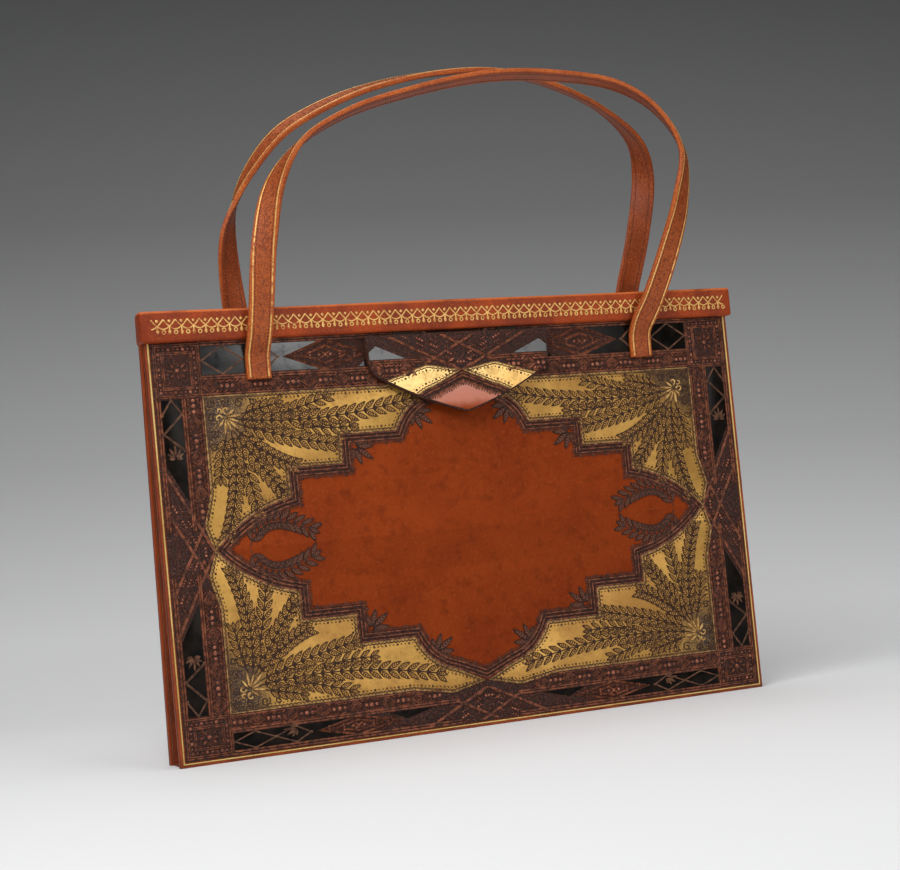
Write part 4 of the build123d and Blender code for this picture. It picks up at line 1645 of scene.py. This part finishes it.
# Gussets
# Thin folded leather at each side. Each is sewn to both linings by its edges, with its fold turned in
# between the panels.
gusset_edge = 139.3
gusset_fold = 30.0
gusset_low = 5.0
gusset_high = 172.5
gusset_leather = 0.8
gap_low = 5.6
gap_slope = math.tan(lean)
front_clear = 0.3
rear_clear = 0.05


def gusset(name, side):
    """A folded sheet, pleated between the panels and slightly puffed."""
    bpy.ops.object.select_all(action="DESELECT")
    bpy.ops.mesh.primitive_grid_add(x_subdivisions=32, y_subdivisions=28, size=2)
    piece = bpy.context.object
    piece.name = name
    for vertex in piece.data.vertices:
        fold, rise = vertex.co.x, (vertex.co.y + 1) / 2
        up = gusset_low + (gusset_high - gusset_low) * rise
        room = gap_low - gap_slope * up - gusset_leather / 2 - (front_clear if fold < 0 else rear_clear)
        puff = 0.25 * math.sin(math.pi * abs(fold)) * math.sin(3 * math.pi * rise)
        across = gusset_edge - gusset_fold * (1 - abs(fold)) ** 1.05
        out = room * abs(fold) + puff * min(room, 1) * 0.4
        vertex.co = (side * across, math.copysign(1, fold) * out, up)
    body = piece.modifiers.new("body", "SOLIDIFY")
    body.thickness = gusset_leather
    body.offset = 0
    pick(piece)
    bpy.ops.object.modifier_apply(modifier="body")
    placed(piece, Matrix.Scale(0.001, 4))
    edited(piece, bpy.ops.mesh.normals_make_consistent, inside=False)
    smooth(50)
    return piece


gusset_tan = tan_leather("gusset_tan", (150, 64, 28), (104, 44, 22), (182, 94, 48), 2.4, 0.5)
for end, side in (("left", -1), ("right", 1)):
    fold = clad(gusset("gusset_fold_" + end, side), gusset_tan)
    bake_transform(fold)
    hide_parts("gusset_" + end)

# Bottom strip
# A stiff leather channel between the two panels, sewn to the back one.
strip_half = 139.3
strip_outline = [(-5.3, 0.0), (5.6, 0.0), (5.48, 5.0), (4.5, 5.0),
                 (4.55, 1.0), (-4.25, 1.0), (-4.2, 5.0), (-5.18, 5.0)]
strip = clad(plate("bottom_channel", [strip_outline], -strip_half, strip_half, 0.15), gusset_tan)
strip_frame = Matrix.Rotation(math.pi / 2, 4, "Z") @ Matrix.Scale(0.001, 4)
fixed(strip, strip_frame, "back", "gusset_leather", "bottom_strip")

# Linings
# Ribbed silk, cut to the inside of each board and pasted over it, with its upper edge caught in the bar.
lining_half = 139.0
lining_low = 1.4
lining_top = 184.0
lining_out = 2.4
lining_in = 2.9
lining_edge = box_outline(-lining_half, lining_half, lining_low, lining_top)
silk, surface, place = new_material("lining_silk")
ribs = {"Vector": place, "Scale": 0.42, "Distortion": 0.6}
rib = place.node("ShaderNodeTexWave", {"bands_direction": "Z"}, ribs)
water = place.noise(0.03, 3)
waves = {"Vector": place, "Scale": 0.02, "Distortion": 9.0, "Detail": 3.0, "Detail Scale": 0.6}
moire = place.node("ShaderNodeTexWave", {"bands_direction": "X"}, waves)
watered = water.clear(0.3, 0.7) * 0.4 + moire * 0.5
dress(surface, {
    "Base Color": watered.blend(linear(126, 84, 56), linear(168, 122, 86)),
    "Roughness": 0.6 - moire * 0.15,
    "Normal": bumped(rib, 0.4, 0.0002),
    "Sheen Weight": 0.3,
})
linings = [("front", "front", front_frame, [catch_window]), ("rear", "back", rear_frame, [])]
for half, body, where, windows in linings:
    lining = clad(plate(half + "_silk", [lining_edge] + windows, lining_out, lining_in, 0.1), silk)
    fixed(lining, where, body, "lining", half + "_lining")
    half + "_board"


# Metal and board inside
# The channels, the tab's plate and pin and the keeper are metal. The boards are grey millboard, and lie
# hidden between leather and lining.
def metal(name, base, dark, sheen):
    """Drawn metal, spotted where it has dulled."""
    material, surface, place = new_material(name)
    drawn_out = place.scaled((0.05, 1, 1)).noise(3.0, 3)
    spot = place.noise(0.2, 3)
    dress(surface, {
        "Base Color": (spot.clear(0.45, 0.75) * 0.6).blend(linear(*base), linear(*dark)),
        "Metallic": 0.9,
        "Roughness": drawn_out * 0.25 + sheen,
        "Normal": bumped(drawn_out, 0.15, 0.0001),
    })
    return material


# The rails and keeper are near-black steel: painted shade, so that the rail's lugs in the gap under the bar
# read as shadow.
shade_painted_steel = metal("shade_painted_steel", (48, 38, 32), (30, 24, 20), 0.4)
brass = metal("brass", (198, 158, 88), (136, 98, 48), 0.22)
board_grey, surface, place = new_material("board_grey")
fibre = place.noise(1.2, 4)
dress(surface, {
    "Base Color": fibre.clear(0.3, 0.7).blend(linear(118, 104, 86), linear(160, 146, 122)),
    "Roughness": 0.9,
    "Normal": bumped(fibre, 0.3, 0.0002),
})
finishes = {
    "front_rail": shade_painted_steel,
    "rear_rail": shade_painted_steel,
    "tab_plate": brass,
    "tab_pin": brass,
    "catch_keeper": shade_painted_steel,
    "front_board": board_grey,
    "rear_board": board_grey,
}
for node, finish in finishes.items():
    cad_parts[node].data.materials.clear()
    clad(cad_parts[node], finish)

for punch in (bead, leaf):
    bpy.data.objects.remove(punch)
